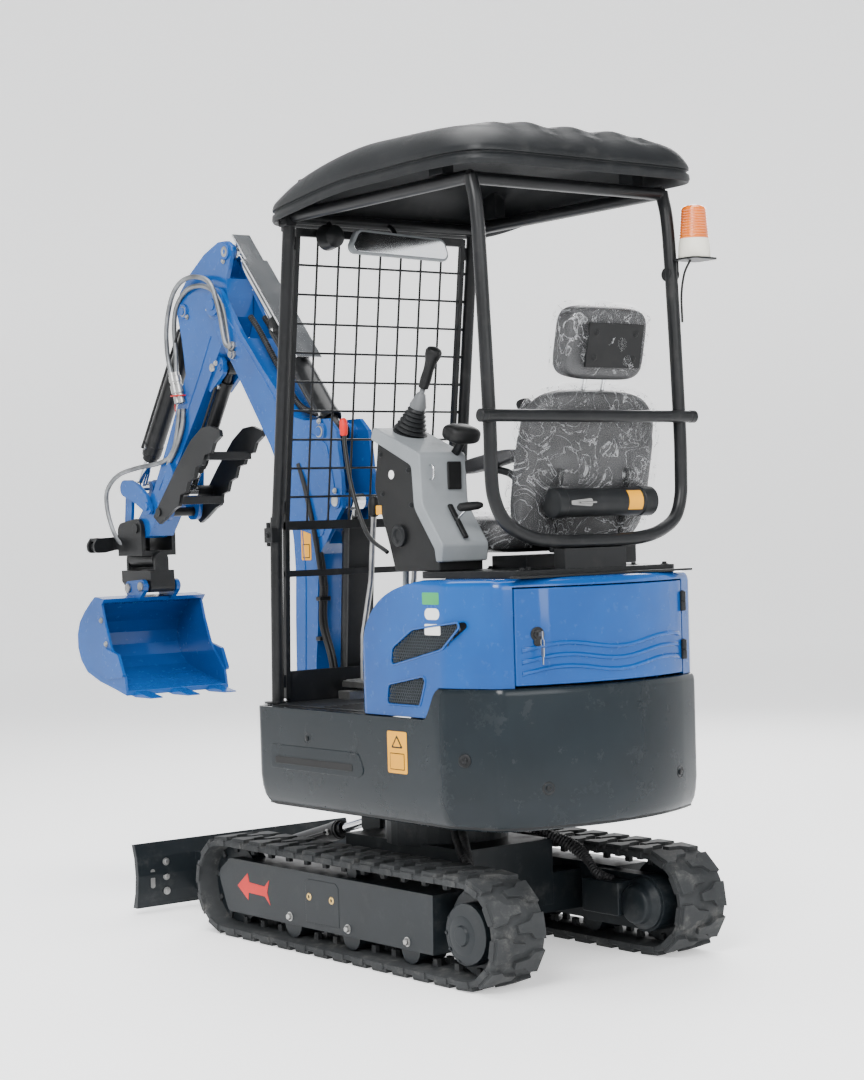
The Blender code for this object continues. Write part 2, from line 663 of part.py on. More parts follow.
def engine_door():
    door = hood_panel("engine_door", DOOR_RIGHT, DOOR_LEFT - SEAM, 0.60, 0.9,
                      SKIRT_REAR_TOP + SEAM + 0.002, 1.115 - SEAM, DOOR)
    for z in KNUCKLES_Z:
        cut(door, hinge_round(f"door_room_{z}", z - 0.030, z, 0.012))
        join(door, hinge_round(f"door_knuckle_{z}", z, z + 0.028, 0.009))
        cut(door, hole(f"door_bore_{z}", (*DOOR_HINGE, z - 0.02), (*DOOR_HINGE, z + 0.04), 0.004, 12))
    return door


def seat_deck():
    """Black plate on the hood that carries the seat, the consoles and the canopy's foot."""
    outline = rounded([(-0.34, 0.340, 0.02), (-0.30, 0.735, 0.02), (0.30, 0.735, 0.02), (0.34, 0.340, 0.02)])
    deck = plate("seat_deck", "plan", HOOD_TOP + GAP + 0.010, 0.020, outline)
    put(deck, UPPER, "black_paint")
    pedestal = block("seat_pedestal", (SEAT_X - 0.16, 0.36, HOOD_TOP + 0.01),
                     (SEAT_X + 0.16, 0.515, 1.195))
    foot = block("canopy_foot", (-0.105, 0.685, HOOD_TOP + 0.01), (0.125, 0.732, 1.215))
    return join(deck, pedestal, foot)


# ---------------------------------------------------------------- canopy
def canopy_frame():
    """Bent tubes: rear loop with both rear posts, two front posts, roof rails and the rear bar."""
    rear = [(POST_X, 0.650, 2.242), (POST_X, 0.675, 2.10), (POST_X, 0.700, 1.60), (POST_X, 0.702, 1.42),
            (0.350, 0.706, 1.35), (0.322, 0.712, 1.295), (0.270, 0.716, 1.262), (0.200, 0.718, 1.242),
            (0.140, 0.7185, 1.2345)]
    loop = rear + [(-x, y, z) for x, y, z in reversed(rear)]
    frame = tube("canopy_frame", loop, POST_RADIUS)
    put(frame, UPPER, "black_paint")
    pieces = []
    for sign in (1, -1):
        front = [(sign * (POST_X + 0.004), -0.372, 0.748), (sign * (POST_X + 0.002), -0.352, 1.300),
                 (sign * POST_X, -0.345, 1.340), (sign * POST_X, -0.232, 2.236)]
        pieces.append(tube(f"front_post_{sign}", front, POST_RADIUS))
        pieces.append(tube(f"roof_rail_{sign}", [(sign * POST_X, -0.234, 2.236), (sign * POST_X, 0.650, 2.240)],
                           POST_RADIUS))
    pieces.append(tube("front_rail", [(-POST_X, -0.230, 2.234), (POST_X, -0.230, 2.234)], POST_RADIUS * 0.95))
    pieces.append(tube("rear_rail", [(-POST_X, 0.650, 2.236), (POST_X, 0.650, 2.236)], POST_RADIUS * 0.95))
    pieces.append(tube("rear_bar", [(-0.402, 0.716, 1.585), (POST_X, 0.716, 1.585)], 0.0175))
    return join(frame, *pieces)


def canopy_roof():
    """Moulded roof: a crowned sheet with a deep rim and four pads on the tubes."""
    mesh = bpy.data.meshes.new("canopy_roof")
    shape = bmesh.new()
    columns, rows = 12, 14
    bmesh.ops.create_grid(shape, x_segments=columns, y_segments=rows, size=1.0)
    middle = (ROOF_FRONT + ROOF_REAR) / 2
    half_length = (ROOF_REAR - ROOF_FRONT) / 2
    for vertex in shape.verts:
        u, v = vertex.co.x, vertex.co.y
        reach = max(abs(u), abs(v))
        corner = (u * u * v * v) ** 2
        pull = 1 - 0.05 * corner
        fall = 1 - reach ** 8 * (0.72 + 0.06 * corner)
        rise = 0.016 * math.cos(math.pi * v) - 0.018 * v
        vertex.co = (u * ROOF_HALF_WIDTH * pull, middle + v * half_length * pull,
                     ROOF_EDGE_Z + ROOF_CROWN * fall * (1 - 0.25 * v * v) + rise - ROOF_CROWN * 0.30)
    shape.to_mesh(mesh)
    shape.free()
    roof = made_object("canopy_roof", mesh)
    put(roof, UPPER, "roof_plastic")
    wall = roof.modifiers.new("wall", "SOLIDIFY")
    wall.thickness = ROOF_WALL
    wall.offset = -1.0
    smooth(roof, 60)
    pads = []
    for sign in (1, -1):
        for y, base in ((-0.12, 2.2365), (0.52, 2.2394)):
            low = base + POST_RADIUS + 0.0006
            pads.append(block(f"roof_pad_{sign}_{y}", (sign * POST_X - 0.02, y - 0.03, low),
                              (sign * POST_X + 0.02, y + 0.03, 2.325)))
    return join(roof, *pads)


GUARD_LINE = ((-0.242, 2.205), (-0.352, 1.330), (-0.379, 0.760))


def guard_y(z):
    """Where the guard's plane is at a height."""
    for (y_high, high), (y_low, low) in zip(GUARD_LINE, GUARD_LINE[1:]):
        if z >= low:
            return y_low + (y_high - y_low) * (z - low) / (high - low)
    return GUARD_LINE[-1][0]


def front_guard():
    """Bolted guard between the front posts: frame bars, wires and the kick plate."""
    x = POST_X - 0.036
    edge = [(y - 0.008, z) for y, z in GUARD_LINE] + [(y + 0.008, z) for y, z in reversed(GUARD_LINE)]
    uprights = [plate("front_guard" if sign > 0 else "guard_right", "side", sign * x, 0.018, edge)
                for sign in (1, -1)]
    guard = uprights[0]
    put(guard, UPPER, "black_paint")
    pieces = [uprights[1]]
    for z, radius in ((2.190, 0.007), (1.300, 0.014), (1.150, 0.007)):
        y = guard_y(z)
        pieces.append(cylinder(f"guard_bar_{z}", (-x, y, z), (x, y, z), radius, 10))
    for n in range(1, 4):
        z = 2.190 - n * 0.215
        y = guard_y(z)
        pieces.append(cylinder(f"guard_wire_{n}", (-x, y, z), (x, y, z), 0.004, 6))
    for n in (-1, 0, 1):
        ends = [(n * 0.16, guard_y(z), z) for z in (2.193, 1.303)]
        pieces.append(cylinder(f"guard_upright_{n}", *ends, 0.005, 6))
    pieces.append(block("kick_plate", (-x, -0.387, 0.7475), (x, -0.379, 0.845)))
    for sign in (1, -1):
        for z, side in ((2.160, 0.0), (1.355, 0.0), (0.815, 0.0038)):
            y = guard_y(z)
            near, far = sorted((sign * x, sign * (POST_X - POST_RADIUS - GAP + side)))
            pieces.append(block(f"guard_lug_{sign}_{z}", (near, y - 0.006, z - 0.020),
                                (far, y + 0.012, z + 0.020)))
    return join(guard, *pieces)


def beacon():
    """Amber rotating lamp on a bracket behind the right rear post."""
    x, y = -0.402, 0.735
    lamp = cylinder("beacon", (x, y, 2.105), (x, y, 2.145), 0.043, 20, 0.040)
    put(lamp, UPPER, "amber")
    dome = cylinder("beacon_dome", (x, y, 2.140), (x, y, 2.200), 0.038, 20, 0.033)
    edge = -POST_X - POST_RADIUS - GAP
    shelf = block("beacon_shelf", (-0.437, 0.665, 2.088), (edge, 0.780, 2.108))
    arm = block("beacon_arm", (edge - 0.012, 0.665, 2.050), (edge, 0.700, 2.095))
    return join(lamp, dome, shelf, arm)


# ---------------------------------------------------------------- operator's place
def cushion(name, low, high, radius, slot="seat_vinyl"):
    piece = block(name, low, high)
    round_edges = piece.modifiers.new("round", "BEVEL")
    round_edges.width = radius
    round_edges.segments = 3
    put(piece, UPPER, slot)
    return smooth(piece, 60)


SEAT_BACK = (SEAT_X, 0.590, 1.440)
SEAT_LEAN = math.radians(-12)


def beside_back(y, z):
    """A place given from the seat back's middle, square to its lean."""
    lean = Matrix.Rotation(SEAT_LEAN, 4, "X")
    return Vector(SEAT_BACK) + lean @ Vector((0, y, z))


def seat():
    cushion("seat_cushion", (SEAT_X - 0.235, 0.130, 1.1955), (SEAT_X + 0.235, 0.485, 1.315), 0.045)
    back = cushion("seat_back", (SEAT_X - 0.250, -0.050, -0.235), (SEAT_X + 0.250, 0.050, 0.225), 0.045)
    back.location = SEAT_BACK
    back.rotation_euler = (SEAT_LEAN, 0, 0)
    low = HOOD_TOP + GAP + 0.020 + GAP
    brackets = [block(f"seat_bracket_{sign}", (SEAT_X + sign * 0.12 - 0.02, 0.520, low),
                      (SEAT_X + sign * 0.12 + 0.02, 0.600, 1.260)) for sign in (1, -1)]
    head = cushion("headrest", (SEAT_X - 0.155, -0.045, -0.105), (SEAT_X + 0.155, 0.045, 0.105), 0.035)
    head.location = beside_back(0.010, 0.365)
    head.rotation_euler = (SEAT_LEAN, 0, 0)
    for sign in (1, -1):
        across = Vector((sign * 0.07, 0, 0))
        ends = [beside_back(0.005, height) + across for height in (0.18, 0.32)]
        cut(head, cylinder(f"stem_hole_{sign}", ends[0], ends[1] + Vector((0, 0, GAP)), 0.007 + GAP, 10))
        brackets.append(cylinder(f"headrest_stem_{sign}", *ends, 0.007, 10))
    join(back, *brackets)


def document_tube():
    """Closed round case strapped to the back of the seat."""
    radius = 0.042
    middle = beside_back(0.050 + radius + 0.0005, -0.080)
    reach = Vector((0.190, 0, 0))
    return put(cylinder("document_tube", middle - reach, middle + reach, radius, 20), UPPER, "tube_plastic")


def console(side, x, width, stick_x, forward, lower):
    """Side console with its joystick: one tapered side profile."""
    outline = [(0.215, 1.1587, 0), (0.190, 1.235, 0.03), (0.125, 1.400, 0.06), (0.158, 1.560, 0.03),
               (0.345, 1.490, 0.04), (0.352, 1.350, 0.05), (0.440, 1.235, 0.02), (0.440, 1.1587, 0)]
    moved = [(y - (forward if z > 1.3 else 0), z - (lower if z > 1.3 else 0), r) for y, z, r in outline]
    body = plate(f"console_{side}", "side", x, width, rounded(moved))
    put(body, UPPER, "console_plastic")
    base = Vector((stick_x, 0.205 - forward, 1.510 - lower))
    top = Vector((stick_x, 0.316 - forward, 1.785 - lower))
    boot = cylinder(f"stick_boot_{side}", base, along(base, top, 0.12), 0.044, 16, 0.024)
    grip = cylinder(f"stick_grip_{side}", along(base, top, 0.11), top, 0.018, 12, 0.021)
    return join(body, boot, grip)


def travel_levers():
    """Two travel levers with their pedals, on one cross bracket on the floor."""
    base = block("travel_levers", (-0.16, -0.330, 0.7475), (0.16, -0.270, 0.775))
    put(base, UPPER, "steel")
    pieces = []
    for sign in (1, -1):
        x = sign * 0.085
        pieces.append(block(f"pedal_{sign}", (x - 0.045, -0.350, 0.785), (x + 0.045, -0.215, 0.800)))
        pieces.append(block(f"pedal_foot_{sign}", (x - 0.012, -0.315, 0.770), (x + 0.012, -0.285, 0.790)))
        pieces.append(tube(f"lever_{sign}", [(x, -0.300, 0.790), (x, -0.290, 0.95), (x, -0.240, 1.12),
                                             (x, -0.215, 1.33)], 0.009))
    return join(base, *pieces)


# ---------------------------------------------------------------- digging gear
def swing_post():
    """Casting that turns on the frame's pin and carries the boom foot and the lift cylinder."""
    post = cylinder("swing_post", (0, SWING_Y, POST_LOW), (0, SWING_Y, POST_HIGH), 0.052, 24)
    put(post, SWING, "black_paint")
    nose = block("post_nose", (-POST_EAR_OUT, -0.655, POST_LOW + 0.004), (POST_EAR_OUT, -0.560, 0.590))
    neck = block("post_neck", (-0.045, -0.600, POST_LOW + 0.004), (0.045, SWING_Y, POST_HIGH - 0.004))
    ear = [(-0.655, 0.470), (-0.660, 0.660)] + arc(BOOM_FOOT, 0.045, 170, 80, 4)
    ear += arc(LIFT_BASE, 0.036, 110, -60, 6) + [(-0.565, 0.700), (-0.578, 0.640), (-0.565, 0.470)]
    middle = (POST_EAR_IN + POST_EAR_OUT) / 2
    ears = [plate(f"post_ear_{sign}", "side", sign * middle, POST_EAR_OUT - POST_EAR_IN, ear)
            for sign in (1, -1)]
    foot = pin("boom_foot_pin", BOOM_FOOT, 0.022, POST_EAR_OUT + 0.008)
    base = pin("lift_base_pin", LIFT_BASE, 0.016, POST_EAR_OUT + 0.004)
    spacers = []
    for sign in (1, -1):
        spacers.append(cylinder(f"lift_spacer_{sign}", (sign * (0.025 + SIDE), *LIFT_BASE),
                                (sign * (POST_EAR_IN + 0.01), *LIFT_BASE), 0.026, 16))
    join(post, nose, neck, *ears, foot, base, *spacers)
    return cut(post, hole("swing_bore", (0, SWING_Y, 0.40), (0, SWING_Y, 0.66), 0.026, 20))


def boom():
    """Bent box boom: closed box below, ears for two cylinders at the bend, fork at its tip."""
    tip = arc(ARM_PIVOT, 0.060, 215, 30, 7)
    outline = arc(BOOM_FOOT, 0.042, 330, 190, 6)
    outline += [(-0.692, 0.800), (-0.687, 0.985), (-0.678, 1.145), (-0.684, 1.246), (-0.700, 1.345),
                (-0.732, 1.440), (-0.805, 1.567), (-0.985, 1.806), (-1.060, 1.900), (-1.140, 2.000)]
    outline += tip
    outline += [(-0.961, 1.955), (-0.832, 1.820), (-0.660, 1.655), (-0.600, 1.640), (-0.470, 1.640),
                (-0.425, 1.600), (-0.404, 1.450), (-0.404, 1.352), (-0.440, 1.315), (-0.498, 1.244),
                (-0.541, 1.205), (-0.552, 1.114), (-0.562, 0.958), (-0.575, 0.860)]
    body = plate("boom", "side", 0, 2 * BOOM_HALF, outline)
    put(body, BOOM, "blue_paint")
    inside = BOOM_HALF - BOOM_PLATE
    fork = [(-1.30, 2.20), (-1.30, 1.84), (-1.09, 1.83), (-1.000, 1.880), (-0.945, 1.935),
            (-0.90, 1.99), (-1.02, 2.20)]
    ears = [(-0.500, 1.210), (-0.520, 1.330), (-0.575, 1.480), (-0.615, 1.540), (-0.650, 1.70),
            (-0.30, 1.70), (-0.30, 1.20)]
    bosses = []
    for sign in (1, -1):
        for name, place, inner, outer, radius in (
                ("lift", LIFT_EYE, 0.025 + SIDE, BOOM_HALF + 0.006, 0.026),
                ("arm_cylinder", ARM_CYLINDER_BASE, 0.025 + SIDE, BOOM_HALF + 0.006, 0.028),
                ("tip", ARM_PIVOT, ARM_HALF + SIDE, BOOM_HALF + 0.014, 0.040)):
            bosses.append(cylinder(f"boom_{name}_boss_{sign}", (sign * inner, *place),
                                   (sign * outer, *place), radius, 18))
    cut(body, plate("boom_fork", "side", 0, 2 * inside, fork), plate("boom_ears", "side", 0, 2 * inside, ears))
    join(body, *bosses, pin("arm_pivot_pin", ARM_PIVOT, 0.020, BOOM_HALF + 0.018),
         pin("arm_cylinder_pin", ARM_CYLINDER_BASE, 0.015, BOOM_HALF + 0.012))
    return cut(body, pin_hole("boom_foot_hole", BOOM_FOOT, 0.022, 0.1))


def arm():
    """Arm: box with two ears over its pivot for its own cylinder and the bucket's."""
    outline = [(-1.396, 2.055), (-1.374, 2.128), (-1.307, 2.185), (-1.207, 2.245), (-1.116, 2.277),
               *arc(ARM_CYLINDER_EYE, 0.037, 100, 0, 4), (-1.045, 2.200), (-1.068, 2.150), (-1.066, 2.085),
               (-1.068, 2.020), (-1.110, 1.930), (-1.256, 1.740), (-1.394, 1.571), (-1.512, 1.430),
               (-1.600, 1.325), (-1.645, 1.275)]
    outline += arc(HITCH_PIN, 0.036, 300, 180, 6)
    outline += [(-1.708, 1.345), (-1.655, 1.395), (-1.600, 1.440), (-1.503, 1.590), (-1.352, 1.840),
                (-1.370, 1.960)]
    body = plate("arm", "side", 0, 2 * ARM_HALF, outline)
    put(body, ARM, "blue_paint")
    slot_top = [(-1.20, 2.175), (-1.10, 2.150), (-0.98, 2.150), (-0.98, 2.36), (-1.20, 2.36)]
    slot_front = [(-1.290, 2.010), (-1.275, 2.110), (-1.33, 2.25), (-1.50, 2.25), (-1.50, 1.950),
                  (-1.375, 1.950)]
    inside = ARM_HALF - 0.014
    cut(body, plate("arm_slot_top", "side", 0, 2 * inside, slot_top),
        plate("arm_slot_front", "side", 0, 2 * inside, slot_front),
        pin_hole("arm_pivot_hole", ARM_PIVOT, 0.020, 0.1), pin_hole("guide_hole", GUIDE_PIVOT, 0.016, 0.1),
        pin_hole("hitch_hole", HITCH_PIN, 0.018, 0.1))
    pieces = []
    for sign in (1, -1):
        for name, place, inner, radius in (("cylinder", ARM_CYLINDER_EYE, 0.022 + SIDE, 0.028),
                                           ("bucket_cylinder", BUCKET_CYLINDER_BASE, 0.022 + SIDE, 0.026)):
            pieces.append(cylinder(f"arm_{name}_boss_{sign}", (sign * inner, *place),
                                   (sign * (ARM_HALF + 0.006), *place), radius, 18))
    pieces.append(pin("bucket_cylinder_pin", BUCKET_CYLINDER_BASE, 0.014, ARM_HALF + 0.010))
    bracket = rounded([(-1.555, 1.385, 0.01), (-1.530, 1.330, 0.03), (-1.470, 1.330, 0.03),
                       (-1.452, 1.400, 0.03), (-1.440, 1.505, 0.02), (-1.470, 1.545, 0.01)])
    cylinder_ear = rounded([(-1.185, 1.835, 0.01), (-1.165, 1.900, 0.02), (-1.120, 1.878, 0.02),
                            (-1.120, 1.830, 0.02), (-1.250, 1.740, 0.01)])
    for sign in (1, -1):
        pieces.append(plate(f"thumb_bracket_{sign}", "side", sign * 0.058, 0.016, bracket))
        pieces.append(plate(f"thumb_cylinder_ear_{sign}", "side", sign * 0.036, 0.016, cylinder_ear))
    pieces.append(pin("thumb_cylinder_pin", THUMB_CYLINDER_BASE, 0.012, 0.048))
    join(body, *pieces)
    return cut(body, pin_hole("thumb_hole", THUMB_PIVOT, 0.016, 0.1),
               pin("thumb_bay", THUMB_PIVOT, 0.055, 0.045, 20))


def guide_link():
    """Pair of bent links from the arm to the bucket cylinder's rod."""
    outline = arc(GUIDE_PIVOT, 0.030, -30, -150, 5)
    outline += [(-1.700, 1.395)]
    outline += arc(LINK_EYE, 0.030, 250, 90, 6)
    outline += [(-1.735, 1.482), (-1.680, 1.462), (-1.625, 1.425)]
    plates = [plate(f"guide_plate_{sign}", "side", sign * 0.0635, 0.014, outline) for sign in (1, -1)]
    link = pin("guide_link", GUIDE_PIVOT, 0.016, 0.078)
    put(link, GUIDE, "blue_paint")
    return join(link, *plates)


def tipping_link():
    """Pair of links from the rod's eye down to the hitch."""
    outline = arc(LINK_EYE, 0.026, 20, 160, 5) + arc(HITCH_LINK_PIN, 0.023, 180, 340, 5)
    plates = [plate(f"tipping_plate_{sign}", "side", sign * 0.043, 0.012, outline) for sign in (1, -1)]
    link = pin("tipping_link", HITCH_LINK_PIN, 0.014, 0.048)
    put(link, TIPPING, "blue_paint")
    return join(link, *plates)


def thumb():
    """Two toothed plates tied by cross bars, folded back against the arm."""
    edge = [(-1.540, 1.345), (-1.500, 1.318), (-1.460, 1.335)]
    line = [(-1.400, 1.368), (-1.350, 1.418), (-1.296, 1.462), (-1.240, 1.512), (-1.180, 1.552),
            (-1.120, 1.590)]
    for (a, b), (c, d) in zip(line[:-1], line[1:]):
        edge += [(a, b), ((a + c) / 2 + 0.010, (b + d) / 2 - 0.014)]
    edge += [line[-1], (-1.078, 1.612), (-1.082, 1.632), (-1.140, 1.650), (-1.200, 1.645),
             (-1.270, 1.605), (-1.370, 1.515), (-1.478, 1.408)]
    plates = [plate(f"thumb_plate_{sign}", "side", sign * THUMB_PLATE_X, THUMB_PLATE, edge)
              for sign in (1, -1)]
    body = pin("thumb", THUMB_PIVOT, 0.016, THUMB_PLATE_X + 0.012)
    put(body, THUMB, "black_paint")
    half = THUMB_PLATE_X
    bar = block("thumb_bar", (-half, -1.235, 1.535), (half, -1.160, 1.562))
    low_bar = block("thumb_low_bar", (-half, -1.400, 1.385), (half, -1.345, 1.412))
    lugs = [cylinder(f"thumb_lug_{sign}", (sign * (0.018 + SIDE), *THUMB_EYE), (sign * half, *THUMB_EYE),
                     0.020, 16) for sign in (1, -1)]
    return join(body, *plates, bar, low_bar, *lugs)


TILT_CYLINDER_Y = -1.895
SHAFT_RADIUS = 0.014


def tilt_hitch():
    """Upper half of the tilting hitch: ears on the arm, cross tube and the tilt cylinder's wing."""
    ear = arc(HITCH_PIN, 0.036, 0, 90, 4) + arc(HITCH_LINK_PIN, 0.034, 90, 180, 4)
    ear += [(-1.834, 1.205), (-1.664, 1.205)]
    middle = (HITCH_EAR_IN + HITCH_EAR_OUT) / 2
    plates = [plate(f"hitch_ear_{sign}", "side", sign * middle, HITCH_EAR_OUT - HITCH_EAR_IN, ear)
              for sign in (1, -1)]
    hitch = pin("tilt_hitch", HITCH_PIN, 0.018, HITCH_EAR_OUT + 0.006)
    put(hitch, HITCH, "black_paint")
    base = block("hitch_base", (-HITCH_EAR_OUT, -1.834, 1.204), (HITCH_EAR_OUT, -1.664, 1.222))
    shaft = cylinder("hitch_shaft", (0, -1.834, TILT_AXIS_Z), (0, -1.664, TILT_AXIS_Z), 0.030, 20)
    boss = cylinder("link_boss", (-0.033, *HITCH_LINK_PIN), (0.033, *HITCH_LINK_PIN), 0.024, 16)
    stem = block("link_stem", (-0.033, HITCH_LINK_PIN[0] - 0.018, 1.215),
                 (0.033, HITCH_LINK_PIN[0] + 0.018, HITCH_LINK_PIN[1]))
    reach = block("wing_reach", (HITCH_EAR_IN, -1.878, 1.228), (HITCH_EAR_OUT, -1.825, 1.275))
    wing = rounded([(0.057, 1.275, 0), (0.140, 1.272, 0.015), (0.155, 1.250, 0.02), (0.152, 1.218, 0.015),
                    (0.110, 1.218, 0.01), (0.057, 1.228, 0)])
    cheek = rounded([(0.110, 1.274, 0), (0.140, 1.272, 0.015), (0.155, 1.250, 0.02), (0.152, 1.218, 0.015),
                     (0.110, 1.218, 0.01)])
    wings = [plate("hitch_wing", "front", -1.872, 0.012, wing), plate("wing_cheek", "front", -1.918, 0.012, cheek)]
    bridge = block("wing_bridge", (0.116, -1.923, 1.260), (0.142, -1.867, 1.273))
    tilt_pin = cylinder("tilt_pin", (TILT_PIN_X, -1.923, TILT_PIN_Z), (TILT_PIN_X, -1.867, TILT_PIN_Z),
                        0.009, 12)
    join(hitch, *plates, base, shaft, boss, stem, reach, bridge, *wings, tilt_pin)
    return cut(hitch, pin_hole("link_pin_hole", HITCH_LINK_PIN, 0.014, 0.05),
               hole("tilt_bore", (0, -1.90, TILT_AXIS_Z), (0, -1.60, TILT_AXIS_Z), SHAFT_RADIUS))


def hitch_saddle():
    """Lower half: two end plates on the tilt shaft and hooks over the bucket's pins."""
    ends = []
    for n, y in ((0, -1.846), (1, -1.652)):
        outline = [(-0.028, 1.120), (-0.028, TILT_AXIS_Z)] + arc((0, TILT_AXIS_Z), 0.028, 180, 0, 8)
        outline += [(0.028, 1.120)]
        ends.append(plate(f"saddle_end_{n}", "front", y, 0.014, outline))
    side = rounded([(-1.853, 1.150, 0), (-1.853, 1.110, 0.01), (-1.800, 1.070, 0.02), (-1.640, 1.070, 0.02),
                    (-1.645, 1.150, 0)])
    saddle = plate("hitch_saddle", "side", 0, 0.100, side)
    put(saddle, TILT, "black_paint")
    shaft = cylinder("saddle_shaft", (0, -1.852, TILT_AXIS_Z), (0, -1.646, TILT_AXIS_Z), SHAFT_RADIUS, 16)
    lug = rounded([(-0.030, 1.148, 0), (-0.100, 1.190, 0.02), (-0.110, 1.262, 0.015), (-0.152, 1.262, 0.02),
                   (-0.156, 1.210, 0.03), (-0.110, 1.113, 0.02), (-0.030, 1.113, 0)])
    lugs = [plate(f"saddle_lug_{n}", "front", y, 0.012, lug) for n, y in ((0, -1.872), (1, -1.918))]
    bridge = block("saddle_bridge", (-0.095, -1.9235, 1.114), (-0.031, -1.840, 1.147))
    cut(saddle, *[pin(f"bucket_pin_hole_{n}", place, 0.012 + GAP, 0.1, 16)
                  for n, place in enumerate(BUCKET_PINS)])
    return join(saddle, *ends, bridge, *lugs, shaft)


def tilt_cylinder():
    """Short cylinder across the hitch: barrel on the wing's pin, rod's eye in the saddle's lugs."""
    y = TILT_CYLINDER_Y
    base, eye = Vector((TILT_PIN_X, y, TILT_PIN_Z)), Vector((-TILT_PIN_X, y, TILT_PIN_Z))
    axis = pivot("tilt_cylinder_axis", *base, HITCH)
    barrel = cylinder("tilt_cylinder_barrel", along(base, eye, 0.030), along(base, eye, 0.155), 0.014, 16)
    put(barrel, axis, "black_paint")
    half = Vector((0, 0.014, 0))
    join(barrel, cylinder("tilt_neck", along(base, eye, 0.011), along(base, eye, 0.040), 0.010, 12),
         cylinder("tilt_barrel_eye", base - half, base + half, 0.016, 16))
    cut(barrel, cylinder("tilt_cylinder_bore", along(base, eye, 0.060), along(base, eye, 0.20), 0.007 + RUN, 12),
        hole("tilt_pin_hole", base - half * 3, base + half * 3, 0.009, 12))
    rod = cylinder("tilt_cylinder_rod", along(base, eye, 0.110), eye, 0.007, 12)
    put(rod, axis, "steel")
    return join(rod, cylinder("tilt_rod_eye", eye - half, eye + half, 0.014, 16))


def bucket():
    """Welded bucket: rolled back plate, two side plates, lip with teeth, side cutters, pin ears."""
    back = [(-1.700, 1.052), (-1.768, 1.060), (-1.800, 1.040), (-1.849, 1.003), (-1.886, 0.966),
            (-1.905, 0.920), (-1.904, 0.872), (-1.884, 0.825), (-1.840, 0.784), (-1.749, 0.752),
            (-1.640, 0.728), (-1.560, 0.708)]
    side = back + [(-1.572, 0.775), (-1.665, 0.878), (-1.700, 0.960), (-1.722, 1.030)]
    shell = plate("bucket", "side", 0, 2 * BUCKET_HALF, side)
    put(shell, TILT, "blue_paint")
    thick = BUCKET_PLATE
    centre = Vector((-1.70, 0.90))
    hollow = []
    for a, b in back[1:-1]:
        inward = (centre - Vector((a, b))).normalized()
        hollow.append(tuple(Vector((a, b)) + inward * thick * 1.25))
    hollow = [(-1.60, 1.040)] + [(-1.700, 1.040)] + hollow[1:] + [(-1.545, 0.722), (-1.40, 0.76), (-1.40, 1.04)]
    cut(shell, plate("bucket_hollow", "side", 0, 2 * (BUCKET_HALF - thick), hollow))
    pieces = []
    for n, x in enumerate((-0.155, 0, 0.155)):
        tooth = [(-1.640, 0.733), (-1.560, 0.722), (-1.455, 0.704), (-1.455, 0.700), (-1.560, 0.700),
                 (-1.640, 0.716)]
        pieces.append(plate(f"tooth_{n}", "side", x, 0.050, tooth))
    cutter = rounded([(-1.698, 0.878, 0.01), (-1.600, 0.855, 0.01), (-1.562, 0.775, 0.01),
                      (-1.690, 0.762, 0.02), (-1.740, 0.804, 0.02)])
    for sign in (1, -1):
        pieces.append(plate(f"side_cutter_{sign}", "side", sign * (BUCKET_HALF + 0.004), 0.012, cutter))
        ear = arc(BUCKET_PINS[1], 0.026, -60, 80, 5) + arc(BUCKET_PINS[0], 0.026, 100, 240, 5)
        ear += [(-1.770, 1.045), (-1.690, 1.045)]
        pieces.append(plate(f"bucket_ear_{sign}", "side", sign * 0.068, 0.016, ear))
    for n, place in enumerate(BUCKET_PINS):
        pieces.append(pin(f"bucket_pin_{n}", place, 0.012, 0.082, 16))
    return join(shell, *pieces)


def lift_cylinder():
    barrel = hydraulic_barrel("boom_cylinder_barrel", LIFT, LIFT_BASE, LIFT_EYE, 0.545, 0.036, 0.018,
                              0.016, 0.025, 0.335, 0.012)
    direction = (Vector((0, *LIFT_EYE)) - Vector((0, *LIFT_BASE))).normalized()
    across = Vector((0, direction.z, -direction.y))
    low = Vector((0, *LIFT_BASE)) + direction * 0.10 + across * 0.038
    high = Vector((0, *LIFT_BASE)) + direction * 0.555 + across * 0.038
    corners = [(low.y, low.z), (high.y, high.z)]
    outer = [(p[0] + across.y * 0.008, p[1] + across.z * 0.008) for p in reversed(corners)]
    guard = plate("boom_cylinder_guard", "side", 0, 0.100, corners + outer)
    inner = [(p[0] - across.y * 0.008, p[1] - across.z * 0.008) for p in corners]
    outer_web = [(p[0] + across.y * 0.004, p[1] + across.z * 0.004) for p in reversed(corners)]
    web = plate("boom_cylinder_web", "side", 0, 0.016, inner + outer_web)
    join(barrel, guard, web)
    hydraulic_rod("boom_cylinder_rod", LIFT, LIFT_BASE, LIFT_EYE, 0.018, 0.030, 0.025, 0.335)


